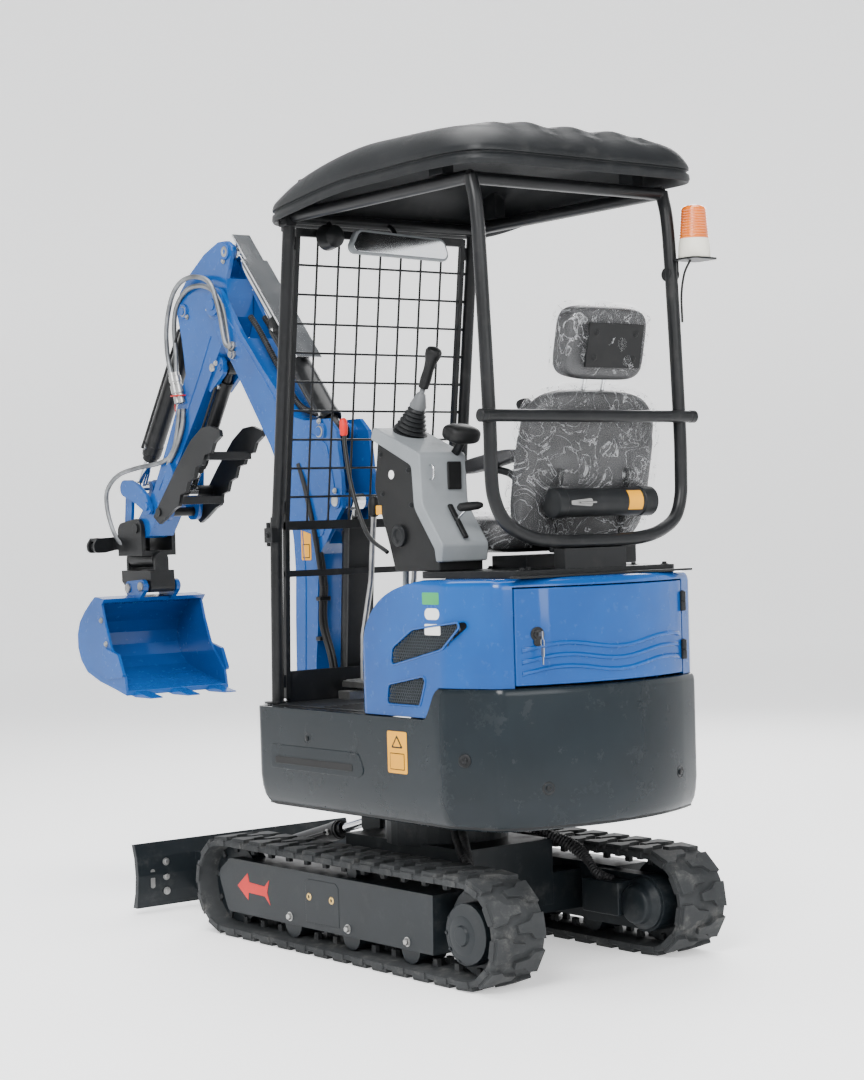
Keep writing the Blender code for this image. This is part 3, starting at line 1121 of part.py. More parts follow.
def arm_cylinder():
    hydraulic_barrel("arm_cylinder_barrel", ARM_CYLINDER, ARM_CYLINDER_BASE, ARM_CYLINDER_EYE, 0.500,
                     0.036, 0.018, 0.015, 0.025, 0.44, 0.216)
    rod = hydraulic_rod("arm_cylinder_rod", ARM_CYLINDER, ARM_CYLINDER_BASE, ARM_CYLINDER_EYE, 0.018,
                        0.028, 0.022, 0.44)
    base, eye = Vector((0, *ARM_CYLINDER_BASE)), Vector((0, *ARM_CYLINDER_EYE))
    direction = (eye - base).normalized()
    across = Vector((0, direction.z, -direction.y))
    reach = (eye - base).length
    covers = []
    for name, near, far, width in (("wide", 0.560, 0.095, 0.100), ("narrow", 0.100, -0.030, 0.072)):
        ends = [base + direction * (reach - distance) + across * 0.048 for distance in (near, far)]
        outer = [end + across * 0.006 for end in reversed(ends)]
        covers.append(plate(f"arm_cylinder_cover_{name}", "side", 0, width,
                            [(p.y, p.z) for p in ends + outer]))
    post = cylinder("cover_post", eye - direction * 0.004, eye - direction * 0.004 + across * 0.052, 0.012, 12)
    return join(rod, *covers, post)


def bucket_cylinder():
    hydraulic_barrel("bucket_cylinder_barrel", BUCKET_CYLINDER, BUCKET_CYLINDER_BASE, LINK_EYE, 0.600,
                     0.034, 0.017, 0.014, 0.022, 0.26, 0.048)
    hydraulic_rod("bucket_cylinder_rod", BUCKET_CYLINDER, BUCKET_CYLINDER_BASE, LINK_EYE, 0.017, 0.026,
                  0.022, 0.26)


def thumb_cylinder():
    hydraulic_barrel("thumb_cylinder_barrel", THUMB_CYLINDER, THUMB_CYLINDER_BASE, THUMB_EYE, 0.400,
                     0.024, 0.012, 0.012, 0.018, 0.27, 0.002)
    hydraulic_rod("thumb_cylinder_rod", THUMB_CYLINDER, THUMB_CYLINDER_BASE, THUMB_EYE, 0.012, 0.018,
                  0.018, 0.27)


def blade_cylinder():
    hydraulic_barrel("blade_cylinder_barrel", BLADE_CYLINDER, BLADE_CYLINDER_BASE, BLADE_EYE, 0.530,
                     0.030, 0.015, 0.016, 0.025, 0.29, 0.053)
    hydraulic_rod("blade_cylinder_rod", BLADE_CYLINDER, BLADE_CYLINDER_BASE, BLADE_EYE, 0.015, 0.024,
                  0.025, 0.29)


# ---------------------------------------------------------------- assembly
def build():
    for side, sign in (("left", 1), ("right", -1)):
        rubber_track(side, sign)
        track_frame(side, sign)
    car_body()
    dozer_blade()
    blade_cylinder()
    main_frame()
    lower_skirt()
    floor_plate()
    engine_block()
    hood_left()
    hood_right()
    engine_door()
    seat_deck()
    canopy_frame()
    canopy_roof()
    front_guard()
    beacon()
    seat()
    document_tube()
    console("left", 0.250, 0.165, 0.240, 0, 0)
    console("right", -0.3715, 0.105, -0.3715, 0.12, 0.10)
    travel_levers()
    swing_post()
    boom()
    lift_cylinder()
    arm_cylinder()
    arm()
    bucket_cylinder()
    guide_link()
    tipping_link()
    thumb()
    thumb_cylinder()
    tilt_hitch()
    hitch_saddle()
    tilt_cylinder()
    bucket()


build()
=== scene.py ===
# %% [markdown]
# # A mini excavator, piece by piece
# The imported solid model comes in first and never moves.  Most fine pieces made below ride on one
# of its bodies, so they dig, swing and slew with it when its joints are posed; hoses across a joint ride on
# none.

# %% Load the frame
import json
import math

import bmesh
import bpy
from mathutils import Matrix, Vector, noise


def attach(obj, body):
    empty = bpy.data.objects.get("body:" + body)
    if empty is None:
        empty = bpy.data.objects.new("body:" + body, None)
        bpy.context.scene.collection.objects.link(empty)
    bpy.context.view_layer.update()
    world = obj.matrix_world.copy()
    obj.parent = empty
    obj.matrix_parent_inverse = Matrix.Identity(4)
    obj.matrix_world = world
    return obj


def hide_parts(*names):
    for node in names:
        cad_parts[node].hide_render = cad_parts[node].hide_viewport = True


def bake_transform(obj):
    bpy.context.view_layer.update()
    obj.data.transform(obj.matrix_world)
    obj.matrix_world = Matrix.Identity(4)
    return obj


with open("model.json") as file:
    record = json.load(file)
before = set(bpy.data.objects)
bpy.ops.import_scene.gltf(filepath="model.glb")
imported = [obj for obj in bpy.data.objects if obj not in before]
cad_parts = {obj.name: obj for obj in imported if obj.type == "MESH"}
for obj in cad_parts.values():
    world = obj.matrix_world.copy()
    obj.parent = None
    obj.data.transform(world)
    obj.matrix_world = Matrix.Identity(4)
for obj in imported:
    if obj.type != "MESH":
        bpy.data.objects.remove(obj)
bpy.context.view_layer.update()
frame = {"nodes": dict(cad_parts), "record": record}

NODES = frame["nodes"]
SLEW = next(joint for joint in frame["record"]["behaviour"]["joints"] if joint["name"] == "slew")
AXIS_Y = SLEW["pos_m"][1]
print("nodes", len(NODES), "slewing axis at y", AXIS_Y)

# %% [markdown]
# All sizes are given from the slewing axis at ground level: +X is the machine's left, -Y its front.
# One helper turns such a place into the model's own coordinates.


# %% Places
def at(x, y, z):
    return Vector((x, y + AXIS_Y, z))


print("tail at", tuple(round(value, 3) for value in at(0, 0.82, 0.6)))

# %% [markdown]
# ## Camera, floor and light
# The camera stands low behind the machine's left rear corner, about seven metres off with a longish
# lens, so upright lines stay nearly upright.  Its way back, right and up are worked out as plain
# vectors, tilted by the small roll, and set as the columns of its matrix.

# %% Camera
AZIMUTH, ELEVATION, ROLL = math.radians(142.056), math.radians(2.567), math.radians(-1.67)
DISTANCE = 6.907
EYE_HEIGHT = 1.0
FOCAL, SENSOR = 74.7723, 36
SHIFT_X, SHIFT_Y = -0.008025, 0.073045

back = Vector((math.sin(AZIMUTH) * math.cos(ELEVATION), -math.cos(AZIMUTH) * math.cos(ELEVATION),
               math.sin(ELEVATION)))
right = Vector((0, 0, 1)).cross(back).normalized()
up = back.cross(right)
turned_right = right * math.cos(ROLL) + up * math.sin(ROLL)
turned_up = up * math.cos(ROLL) - right * math.sin(ROLL)
eye = at(0, 0, EYE_HEIGHT) + back * DISTANCE

lens = bpy.data.cameras.new("camera")
lens.lens = FOCAL
lens.sensor_width = SENSOR
lens.shift_x, lens.shift_y = SHIFT_X, SHIFT_Y
camera = bpy.data.objects.new("camera", lens)
camera.matrix_world = Matrix((
    (turned_right.x, turned_up.x, back.x, eye.x),
    (turned_right.y, turned_up.y, back.y, eye.y),
    (turned_right.z, turned_up.z, back.z, eye.z),
    (0, 0, 0, 1)))
bpy.context.scene.collection.objects.link(camera)
bpy.context.scene.camera = camera
print("camera at", tuple(round(value, 2) for value in eye), "lens", round(FOCAL, 1))

# %% [markdown]
# ## Shader sums as plain Python
# A node graph reads badly when every sum takes three lines.  The class below wraps one socket: an
# expression such as `1 - mask * 0.5` adds its Math nodes, colours and vectors go through Mix and
# Vector Math, and every other kind of node comes from one method, `node`.


# %% The socket class
class Wire:
    """One output socket of a graph, with arithmetic."""

    def __init__(self, graph, socket):
        self.graph = graph
        self.socket = socket

    def math(self, operation, first, second=0.0):
        return self.graph.node("ShaderNodeMath", {"operation": operation}, {0: first, 1: second})

    def __add__(self, other):
        return self.math("ADD", self, other)

    def __sub__(self, other):
        return self.math("SUBTRACT", self, other)

    def __mul__(self, other):
        return self.math("MULTIPLY", self, other)

    __radd__ = __add__
    __rmul__ = __mul__

    def __rsub__(self, other):
        return self.math("SUBTRACT", other, self)

    def __abs__(self):
        return self.math("ABSOLUTE", self)

    def between(self, low, high):
        """0 below low, 1 above high, and a smooth rise between them."""
        return self.graph.node("ShaderNodeMapRange", {"interpolation_type": "SMOOTHSTEP"},
                               {"Value": self, "From Min": low, "From Max": high})


class Graph:
    """The node tree of one material."""

    def __init__(self, name):
        self.material = bpy.data.materials.new(name)
        self.material.use_nodes = True
        self.tree = self.material.node_tree
        self.tree.nodes.clear()

    def node(self, kind, settings=None, inputs=None, output=0):
        made = self.tree.nodes.new(kind)
        for name, value in (settings or {}).items():
            setattr(made, name, value)
        for key, value in (inputs or {}).items():
            socket = made.inputs[key]
            if isinstance(value, Wire):
                self.tree.links.new(value.socket, socket)
            elif isinstance(value, tuple) and len(value) == 3 and socket.type == "RGBA":
                socket.default_value = (*value, 1.0)
            else:
                socket.default_value = value
        return Wire(self, made.outputs[output])

    def place(self):
        return self.node("ShaderNodeTexCoord", output="Object")

    def noise(self, scale, detail=4.0, roughness=0.5, vector=None):
        return self.node("ShaderNodeTexNoise", None,
                         {"Vector": vector or self.place(), "Scale": scale, "Detail": detail,
                          "Roughness": roughness})

    def cells(self, scale):
        return self.node("ShaderNodeTexVoronoi", None, {"Vector": self.place(), "Scale": scale},
                         "Distance")

    def mix(self, factor, first, second):
        return self.node("ShaderNodeMix", {"data_type": "RGBA"}, {0: factor, 6: first, 7: second}, 2)

    def bump(self, height, strength, distance, normal=None):
        inputs = {"Height": height, "Strength": strength, "Distance": distance}
        if normal is not None:
            inputs["Normal"] = normal
        return self.node("ShaderNodeBump", None, inputs)

    def edge(self, radius):
        """The surface's direction with its edges rounded, and how near an edge a point is."""
        soft = self.node("ShaderNodeBevel", {"samples": 4}, {"Radius": radius})
        flat = self.node("ShaderNodeNewGeometry", output="Normal")
        alike = self.node("ShaderNodeVectorMath", {"operation": "DOT_PRODUCT"}, {0: soft, 1: flat},
                          "Value")
        return soft, 1 - alike.between(0.8, 0.995)

    def surface(self, **values):
        """The Principled shader, wired to the output."""
        sockets = {key.replace("_", " ").title().replace("Ior", "IOR"): value
                   for key, value in values.items()}
        shader = self.node("ShaderNodeBsdfPrincipled", None, sockets)
        last = self.tree.nodes.new("ShaderNodeOutputMaterial")
        self.tree.links.new(shader.socket, last.inputs["Surface"])
        return self.material


print("shader helpers ready")

# %% [markdown]
# ## Floor and lamps
# A wide seamless bowl hides the horizon from every side: flat for fifteen metres, then a quarter of a
# circle, then a wall.  It is stage, not machine.

# %% Floor
FLAT, BEND, WALL, BOWL_SIDES = 15, 4, 12, 96
bowl_profile = [(0.01, 0), (4, 0), (9, 0), (FLAT, 0)]
bowl_profile += [(FLAT + BEND * math.sin(turn), BEND - BEND * math.cos(turn))
                 for turn in (math.pi / 2 * step / 16 for step in range(1, 17))]
bowl_profile.append((FLAT + BEND, WALL))
sheet = bpy.data.meshes.new("floor")
sheet_shape = bmesh.new()
rows = [[sheet_shape.verts.new((reach * math.cos(turn), reach * math.sin(turn), height))
         for turn in (math.tau * step / BOWL_SIDES for step in range(BOWL_SIDES))]
        for reach, height in bowl_profile]
for near_row, far_row in zip(rows, rows[1:]):
    for index in range(BOWL_SIDES):
        other = (index + 1) % BOWL_SIDES
        sheet_shape.faces.new((near_row[index], far_row[index], far_row[other], near_row[other]))
sheet_shape.faces.new(rows[0])
sheet_shape.to_mesh(sheet)
sheet_shape.free()
sheet.shade_smooth()
floor = bpy.data.objects.new("floor", sheet)
bpy.context.scene.collection.objects.link(floor)
floor_paint = Graph("studio_floor")
sheet.materials.append(floor_paint.surface(
    base_color=floor_paint.mix(floor_paint.noise(1.5), (0.9, 0.9, 0.9), (0.93, 0.93, 0.93)),
    roughness=0.65, emission_color=(1.0, 1.0, 1.0), emission_strength=0.6))
print("floor out to", FLAT + BEND, "m")

# %% [markdown]
# Four big soft lamps light the machine: a key from behind its left shoulder, a weak fill from the
# tail, a broad one overhead and a rim light from the front.  Large lamps give gloss paint long clean
# highlights and soft shadows, and a pale sky lifts what they miss.


# %% Lamps
def lamp(name, place, target, size, power):
    light = bpy.data.lights.new(name, "AREA")
    light.shape = "RECTANGLE"
    light.size, light.size_y = size
    light.energy = power
    made = bpy.data.objects.new(name, light)
    made.location = place
    made.rotation_euler = (Vector(target) - Vector(place)).to_track_quat("-Z", "Y").to_euler()
    bpy.context.scene.collection.objects.link(made)


lamp("key_light", (5.0, 4.2, 5.8), (0, 0, 1), (3.0, 3.0), 680)
lamp("fill_light", (0.5, 6.8, 3.6), (0, 0, 1.1), (4.0, 3.0), 190)
lamp("top_light", (0, 0, 6.5), (0, 0, 0), (5.0, 5.0), 620)
lamp("rim_light", (-5.0, -3.5, 4.0), (0, 0, 1.2), (4.0, 3.0), 260)

sky = bpy.data.worlds.new("soft_room")
bpy.context.scene.world = sky
sky.use_nodes = True
background = sky.node_tree.nodes["Background"].inputs
background["Color"].default_value = (0.86, 0.89, 0.93, 1)
background["Strength"].default_value = 0.34
print("lamps", len(bpy.data.lights))

# %% [markdown]
# ## Finishes
# The blue is an acrylic topcoat: an even colour under clear coat, a faint orange peel, and dust that
# settles where the surface is uneven.  The frames wear satin black, the rubber is grey with dried
# dust in its pores, and the plastics have a fine moulded grain.  Edges are rounded in the shader,
# and the same test paints a lighter copy of the colour along them as a painted highlight.


# %% Paints
def gloss_paint(name, dark, light, dust=0.01, edge=0.0025, roughness=0.22, coat=0.2):
    graph = Graph(name)
    soft, near_edge = graph.edge(edge)
    broad = graph.noise(2.2, 3.0)
    fine = graph.noise(260.0, 2.0)
    specks = graph.noise(38.0, 6.0, 0.7).between(0.56, 0.72)
    colour = graph.mix(broad.between(0.35, 0.65), dark, light)
    colour = graph.mix(specks * dust, colour, (0.3, 0.3, 0.29))
    # Painted highlight: a lighter copy of the colour along the rounded edges.
    colour = graph.mix(near_edge * 0.2, colour, tuple(min(1.0, value * 1.5 + 0.01) for value in light))
    return graph.surface(base_color=colour, roughness=specks * 0.18 + broad * 0.08 + (roughness - 0.04),
                         normal=graph.bump(fine, 0.04, 0.0006, soft), coat_weight=coat,
                         coat_roughness=0.08,
                         specular_ior_level=0.28)


def satin_paint(name, dark, light, roughness=0.42, dust=0.25, edge=0.002, grain=180.0, depth=0.1):
    graph = Graph(name)
    soft, near_edge = graph.edge(edge)
    broad = graph.noise(3.1, 5.0, 0.6)
    grains = graph.noise(grain, 3.0)
    settled = graph.noise(14.0, 8.0, 0.72).between(0.5, 0.78)
    colour = graph.mix(broad.between(0.3, 0.7), dark, light)
    colour = graph.mix(settled * dust, colour, (0.23, 0.225, 0.21))
    # Painted highlight: a lighter copy of the colour along the rounded edges.
    colour = graph.mix(near_edge * 0.2, colour, tuple(min(1.0, value * 1.6 + 0.02) for value in light))
    return graph.surface(base_color=colour, roughness=settled * 0.22 + grains * 0.12 + (roughness - 0.06),
                         normal=graph.bump(grains, depth, 0.0008, soft), specular_ior_level=0.22)


BLUE = gloss_paint("blue_topcoat", (0.0, 0.046, 0.2), (0.0, 0.064, 0.265))
SKIRT = satin_paint("skirt_satin", (0.0042, 0.0075, 0.01), (0.007, 0.0115, 0.015), 0.22, 0.02, 0.002,
                     300.0, 0.02)
BLACK = satin_paint("black_satin", (0.004, 0.0045, 0.005), (0.009, 0.0095, 0.0105), 0.34, 0.06)
CHASSIS = satin_paint("chassis_grey", (0.0045, 0.0068, 0.0085), (0.0085, 0.0115, 0.014), 0.4, 0.1)
MOULDED = satin_paint("moulded_black", (0.0045, 0.0052, 0.006), (0.0085, 0.0095, 0.0105), 0.44, 0.06,
                      0.003, 420.0, 0.2)
SILVER = satin_paint("silver_moulding", (0.165, 0.18, 0.19), (0.215, 0.23, 0.24), 0.36, 0.08, 0.003,
                     500.0, 0.12)
TRIM = satin_paint("soft_black_trim", (0.004, 0.0042, 0.0045), (0.0075, 0.0078, 0.0082), 0.46, 0.04,
                   0.003, 300.0, 0.2)
RUBBER = satin_paint("track_rubber", (0.013, 0.0145, 0.0155), (0.028, 0.03, 0.0315), 0.66, 0.32, 0.002,
                     90.0, 0.4)
HOSE = satin_paint("hose_rubber", (0.008, 0.008, 0.009), (0.016, 0.016, 0.017), 0.45, 0.12, 0.001, 240.0,
                   0.25)
YELLOW = satin_paint("plain_yellow_plate", (0.62, 0.27, 0.006), (0.72, 0.33, 0.01), 0.35, 0.04)
RED = satin_paint("red_paint", (0.42, 0.008, 0.006), (0.56, 0.014, 0.01), 0.35, 0.05)
WHITE = satin_paint("plain_white_plate", (0.72, 0.72, 0.7), (0.8, 0.8, 0.78), 0.4, 0.05)
GREEN = satin_paint("plain_green_plate", (0.03, 0.26, 0.08), (0.05, 0.33, 0.11), 0.4, 0.05)
CREAM = satin_paint("cream_plastic", (0.62, 0.6, 0.52), (0.7, 0.68, 0.6), 0.4, 0.05)
MESH_GREY = satin_paint("punched_mesh", (0.03, 0.036, 0.042), (0.05, 0.058, 0.066), 0.45, 0.05)
IRON = satin_paint("cast_iron_block", (0.03, 0.03, 0.032), (0.06, 0.06, 0.062), 0.6, 0.35, 0.003, 60.0,
                   0.5)
STICK_GREY = satin_paint("stick_grey", (0.1, 0.105, 0.11), (0.14, 0.145, 0.15))
print("paints", len(bpy.data.materials))

# %% [markdown]
# Bare metal is full metallic with fine lines drawn out along one way, as a polishing belt leaves
# them, and broad smears that vary its shine.


# %% Metals
def bare_metal(name, dark, light, roughness, scratch=0.25):
    graph = Graph(name)
    soft, near_edge = graph.edge(0.0012)
    stretched = graph.node("ShaderNodeMapping", None, {"Vector": graph.place(),
                                                       "Scale": (1.0, 60.0, 60.0)})
    lines = graph.noise(24.0, 4.0, 0.6, stretched)
    smears = graph.noise(9.0, 5.0, 0.6)
    colour = graph.mix(smears.between(0.35, 0.7), dark, light)
    return graph.surface(base_color=colour, metallic=1.0,
                         roughness=lines * scratch + smears * 0.1 + (roughness - 0.08) + near_edge * 0.05,
                         normal=graph.bump(lines, 0.03, 0.0004, soft))


CHROME = bare_metal("chromed_rod", (0.5, 0.51, 0.52), (0.66, 0.67, 0.68), 0.1, 0.06)
STEEL = bare_metal("zinc_steel", (0.26, 0.26, 0.255), (0.42, 0.42, 0.41), 0.32)
BRASS = bare_metal("brass_plug", (0.5, 0.34, 0.12), (0.64, 0.45, 0.17), 0.32)
BRAID = bare_metal("steel_braid", (0.14, 0.145, 0.15), (0.3, 0.31, 0.32), 0.4, 0.35)
GLASS = bare_metal("mirror_glass", (0.7, 0.72, 0.74), (0.78, 0.8, 0.82), 0.09, 0.02)
print("metals ready")

# %% [markdown]
# Three finishes need their own graph.  Vinyl has the small cells of a pressed grain over slow folds,
# the beacon's amber is a ribbed lens with a little light inside it, and the packing film is nearly
# clear, with bright crumples where it folds.


# %% Vinyl, film and lens
def black_vinyl():
    graph = Graph("black_vinyl")
    grain = graph.cells(330.0)
    folds = graph.noise(7.0, 3.0)
    colour = graph.mix(folds.between(0.3, 0.7), (0.01, 0.01, 0.011), (0.022, 0.022, 0.024))
    return graph.surface(base_color=colour, roughness=grain * 0.15 + 0.36,
                         normal=graph.bump(grain + folds * 2.0, 0.3, 0.0015))


def clear_film():
    """Loose packing film: mostly a window, with a painted highlight along its crumples."""
    graph = Graph("clear_film")
    bent = graph.noise(5.0, 4.0, 0.6)
    streaks = graph.node("ShaderNodeTexNoise", None, {"Vector": graph.place(), "Scale": 9.0,
                                                      "Detail": 5.0,
                                                      "Roughness": 0.55, "Distortion": 2.2})
    ridges = 1 - abs(streaks - 0.5).between(0.0, 0.022)
    height = ridges * 0.5 + streaks * 2.6
    # Painted highlight: the pale colour shows through alpha along the crumple ridges; the faint even rest is
    # the film's own haze.
    return graph.surface(base_color=(0.8, 0.82, 0.84), roughness=ridges * 0.1 + 0.1,
                         alpha=ridges * 0.46 + bent.between(0.52, 0.8) * 0.05 + 0.03,
                         normal=graph.bump(height, 1.0, 0.02), specular_ior_level=0.9, coat_weight=0.8)


def amber_lens():
    graph = Graph("amber_lens")
    ribs = graph.node("ShaderNodeTexWave", {"bands_direction": "Z", "wave_type": "BANDS"},
                      {"Vector": graph.place(), "Scale": 42.0})
    colour = graph.mix(graph.noise(9.0).between(0.3, 0.7), (0.52, 0.1, 0.002), (0.72, 0.17, 0.004))
    return graph.surface(base_color=colour, roughness=0.12, coat_weight=0.9,
                         normal=graph.bump(ribs, 0.25, 0.001), subsurface_weight=0.25)


VINYL = black_vinyl()
FILM = clear_film()
AMBER = amber_lens()
print("finishes", len(bpy.data.materials))

# %% [markdown]
# ## Shapes
# A machine like this is mostly cut plate, bent tube and turned pins, so four makers cover nearly all
# of it: a slab cut from an outline, a box, a turned profile and a tube run through points.  Each adds
# to one growing shape, and `finish_piece` turns that shape into an object with its finish, its
# softened edges and the body that it rides on.

# %% Finishing a piece
SHARP = math.radians(38)


def finish_piece(name, shape, finish, body, bevel=0.0, segments=2, smooth=True):
    mesh = bpy.data.meshes.new(name)
    bmesh.ops.remove_doubles(shape, verts=shape.verts, dist=1e-6)
    bmesh.ops.recalc_face_normals(shape, faces=shape.faces)
    shape.to_mesh(mesh)
    shape.free()
    mesh.materials.append(finish)
    if smooth:
        mesh.shade_smooth()
        mesh.set_sharp_from_angle(angle=SHARP)
    piece = bpy.data.objects.new(name, mesh)
    bpy.context.scene.collection.objects.link(piece)
    if bevel:
        rounding = piece.modifiers.new("rounded_edges", "BEVEL")
        rounding.width = bevel
        rounding.segments = segments
        rounding.limit_method = "ANGLE"
        rounding.angle_limit = SHARP
        rounding.harden_normals = True
    if body:
        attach(piece, body)
    return piece


print("edges sharper than", round(math.degrees(SHARP)), "degrees stay crisp")

# %% [markdown]
# Plates and blocks are closed shapes with flat ends.  `bridge` joins rings of points that have as
# many points each, which also serves belts, tubes and the roof later.


# %% Slabs and boxes
def bridge(shape, rings):
    """Faces between neighbouring rings that have as many points each."""
    for low, high in zip(rings, rings[1:]):
        for index in range(len(low)):
            other = (index + 1) % len(low)
            shape.faces.new((low[index], low[other], high[other], high[index]))


def cap_ends(shape, rings):
    shape.faces.new(rings[0])
    shape.faces.new(rings[-1])


def add_slab(shape, outline, plane, start, end):
    """A plate from start to end; its outline lies in plane side (y, z), front (x, z) or plan (x, y)."""
    def place(first, second, depth):
        if plane == "side":
            return at(depth, first, second)
        if plane == "front":
            return at(first, depth, second)
        return at(first, second, depth)
    low = [shape.verts.new(place(first, second, start)) for first, second in outline]
    high = [shape.verts.new(place(first, second, end)) for first, second in outline]
    shape.faces.new(low)
    shape.faces.new(high[::-1])
    for index in range(len(outline)):
        other = (index + 1) % len(outline)
        shape.faces.new((low[other], low[index], high[index], high[other]))


def add_box(shape, middle, size, turn=None):
    half = Vector(size) / 2
    turn = turn or Matrix.Identity(3)
    corners = []
    for sx in (-1, 1):
        for sy in (-1, 1):
            for sz in (-1, 1):
                offset = turn @ Vector((sx * half.x, sy * half.y, sz * half.z))
                corners.append(shape.verts.new(at(*middle) + offset))
    for face in ((0, 1, 3, 2), (4, 6, 7, 5), (0, 4, 5, 1), (2, 3, 7, 6), (0, 2, 6, 4), (1, 5, 7, 3)):
        shape.faces.new([corners[index] for index in face])


print("slab and box ready")

# %% [markdown]
# Pins, bolts, caps and knobs are turned: a profile of (distance, radius) is spun round the line
# between two points, and a radius of nothing closes the end in one point.


# %% Turned shapes
def add_turned(shape, start, end, profile, sides=32):
    """A turned piece: profile of (distance along, radius) from start toward end."""
    start, end = at(*start), at(*end)
    along = (end - start).normalized()
    first = along.orthogonal().normalized()
    second = along.cross(first)
    rings = []
    for distance, radius in profile:
        middle = start + along * distance
        if radius < 1e-6:
            rings.append([shape.verts.new(middle)])
            continue
        rings.append([shape.verts.new(middle + (first * math.cos(turn) + second * math.sin(turn)) * radius)
                      for turn in (math.tau * step / sides for step in range(sides))])
    for low, high in zip(rings, rings[1:]):
        for index in range(sides):
            other = (index + 1) % sides
            if len(low) == 1 and len(high) == 1:
                continue
            if len(low) == 1:
                shape.faces.new((low[0], high[index], high[other]))
            elif len(high) == 1:
                shape.faces.new((low[index], low[other], high[0]))
            else:
                shape.faces.new((low[index], low[other], high[other], high[index]))
    for ring in (rings[0], rings[-1]):
        if len(ring) > 1:
            shape.faces.new(ring)


def add_pin(shape, start, end, radius, sides=28, soft=0.0015):
    length = (Vector(end) - Vector(start)).length
    add_turned(shape, start, end, [(0, radius - soft), (soft, radius), (length - soft, radius),
                                   (length, radius - soft)], sides)


def add_bolt(shape, place, way, radius=0.009, height=0.007):
    """A hexagon head on a washer, pointing along way."""
    way = Vector(way).normalized()
    start = Vector(place)
    washer = start + way * 0.002
    add_turned(shape, start, start + way, [(0, radius * 1.45), (0.002, radius * 1.45)], 20)
    add_turned(shape, washer, washer + way, [(0, radius), (height * 0.8, radius),
                                             (height, radius * 0.82)], 6)


print("turned shapes ready")

# %% [markdown]
# A tube follows a smooth curve through its points.  Its ring is carried along without twisting, and a
# cosine in its radius makes a corrugated guard.


# %% Tubes
def smooth_points(points, steps=8):
    """A smooth run through the given points."""
    points = [Vector(point) for point in points]
    ends = [points[0] * 2 - points[1]] + points + [points[-1] * 2 - points[-2]]
    run = []
    for index in range(1, len(ends) - 2):
        a, b, c, d = ends[index - 1:index + 3]
        for step in range(steps):
            t = step / steps
            run.append(0.5 * ((2 * b) + (c - a) * t + (2 * a - 5 * b + 4 * c - d) * t * t
                              + (3 * b - a - 3 * c + d) * t ** 3))
    run.append(points[-1])
    return run


def add_tube(shape, points, radius, sides=16, steps=8, ribs=None, closed_ends=True):
    """A tube along smooth points; ribs = (spacing, depth) makes it corrugated."""
    run = smooth_points(points, steps) if steps > 1 else [Vector(point) for point in points]
    if ribs:
        fine = [run[0]]
        for a, b in zip(run, run[1:]):
            count = max(1, round((b - a).length / (ribs[0] / 4)))
            fine += [a + (b - a) * (step + 1) / count for step in range(count)]
        run = fine
    side_way = None
    rings = []
    walked = 0.0
    for index, point in enumerate(run):
        before = run[max(0, index - 1)]
        after = run[min(len(run) - 1, index + 1)]
        along = (after - before).normalized()
        if side_way is None:
            side_way = along.orthogonal().normalized()
        side_way = (side_way - along * side_way.dot(along)).normalized()
        other_way = along.cross(side_way)
        if index:
            walked += (point - run[index - 1]).length
        reach = radius + (ribs[1] * math.cos(math.tau * walked / ribs[0]) if ribs else 0.0)
        rings.append([shape.verts.new(at(*(point + (side_way * math.cos(turn)
                                                    + other_way * math.sin(turn)) * reach)))
                      for turn in (math.tau * step / sides for step in range(sides))])
    bridge(shape, rings)
    if closed_ends:
        cap_ends(shape, rings)


print("tubes ready")

# %% [markdown]
# Outlines are lists of corners, each with its own radius.  The last three helpers make a whole piece
# in one line where one slab, one turned profile or one tube is all that it needs.


# %% Outlines and whole pieces
def arc(centre, radius, start, end, steps=10):
    return [(centre[0] + radius * math.cos(math.radians(start + (end - start) * step / steps)),
             centre[1] + radius * math.sin(math.radians(start + (end - start) * step / steps)))
            for step in range(steps + 1)]


def rounded(points, steps=5):
    """Corners (a, b, radius) turned into a smooth outline."""
    outline = []
    for index, (a, b, radius) in enumerate(points):
        here = Vector((a, b))
        back_way = (Vector(points[index - 1][:2]) - here).normalized()
        on_way = (Vector(points[(index + 1) % len(points)][:2]) - here).normalized()
        if radius <= 0:
            outline.append((a, b))
            continue
        half = back_way.angle(on_way) / 2
        reach = radius / math.tan(half)
        centre = here + (back_way + on_way).normalized() * (radius / math.sin(half))
        first, last = here + back_way * reach - centre, here + on_way * reach - centre
        for step in range(steps + 1):
            way = first.lerp(last, step / steps).normalized() * radius
            outline.append(tuple(centre + way))
    return outline


def panel(low, high, radius):
    """An upright rectangle between two corners, with its own corners rounded."""
    (a, b), (c, d) = low, high
    return rounded([(a, b, radius), (a, d, radius), (c, d, radius), (c, b, radius)])


def slab(name, outline, plane, start, end, finish, body, bevel=0.0025):
    shape = bmesh.new()
    add_slab(shape, outline, plane, start, end)
    return finish_piece(name, shape, finish, body, bevel)


def turned(name, start, end, profile, sides, finish, body):
    shape = bmesh.new()
    add_turned(shape, start, end, profile, sides)
    return finish_piece(name, shape, finish, body)


def tube(name, points, radius, finish, body, sides=14, steps=10, ribs=None):
    shape = bmesh.new()
    add_tube(shape, points, radius, sides, steps, ribs)
    return finish_piece(name, shape, finish, body)


print("makers ready")

# %% [markdown]
# ## Paint on the solid model
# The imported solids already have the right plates, bores and cylinders, so most of them are simply
# finished: each material slot gets the real surface, with its edges rounded by the shader.

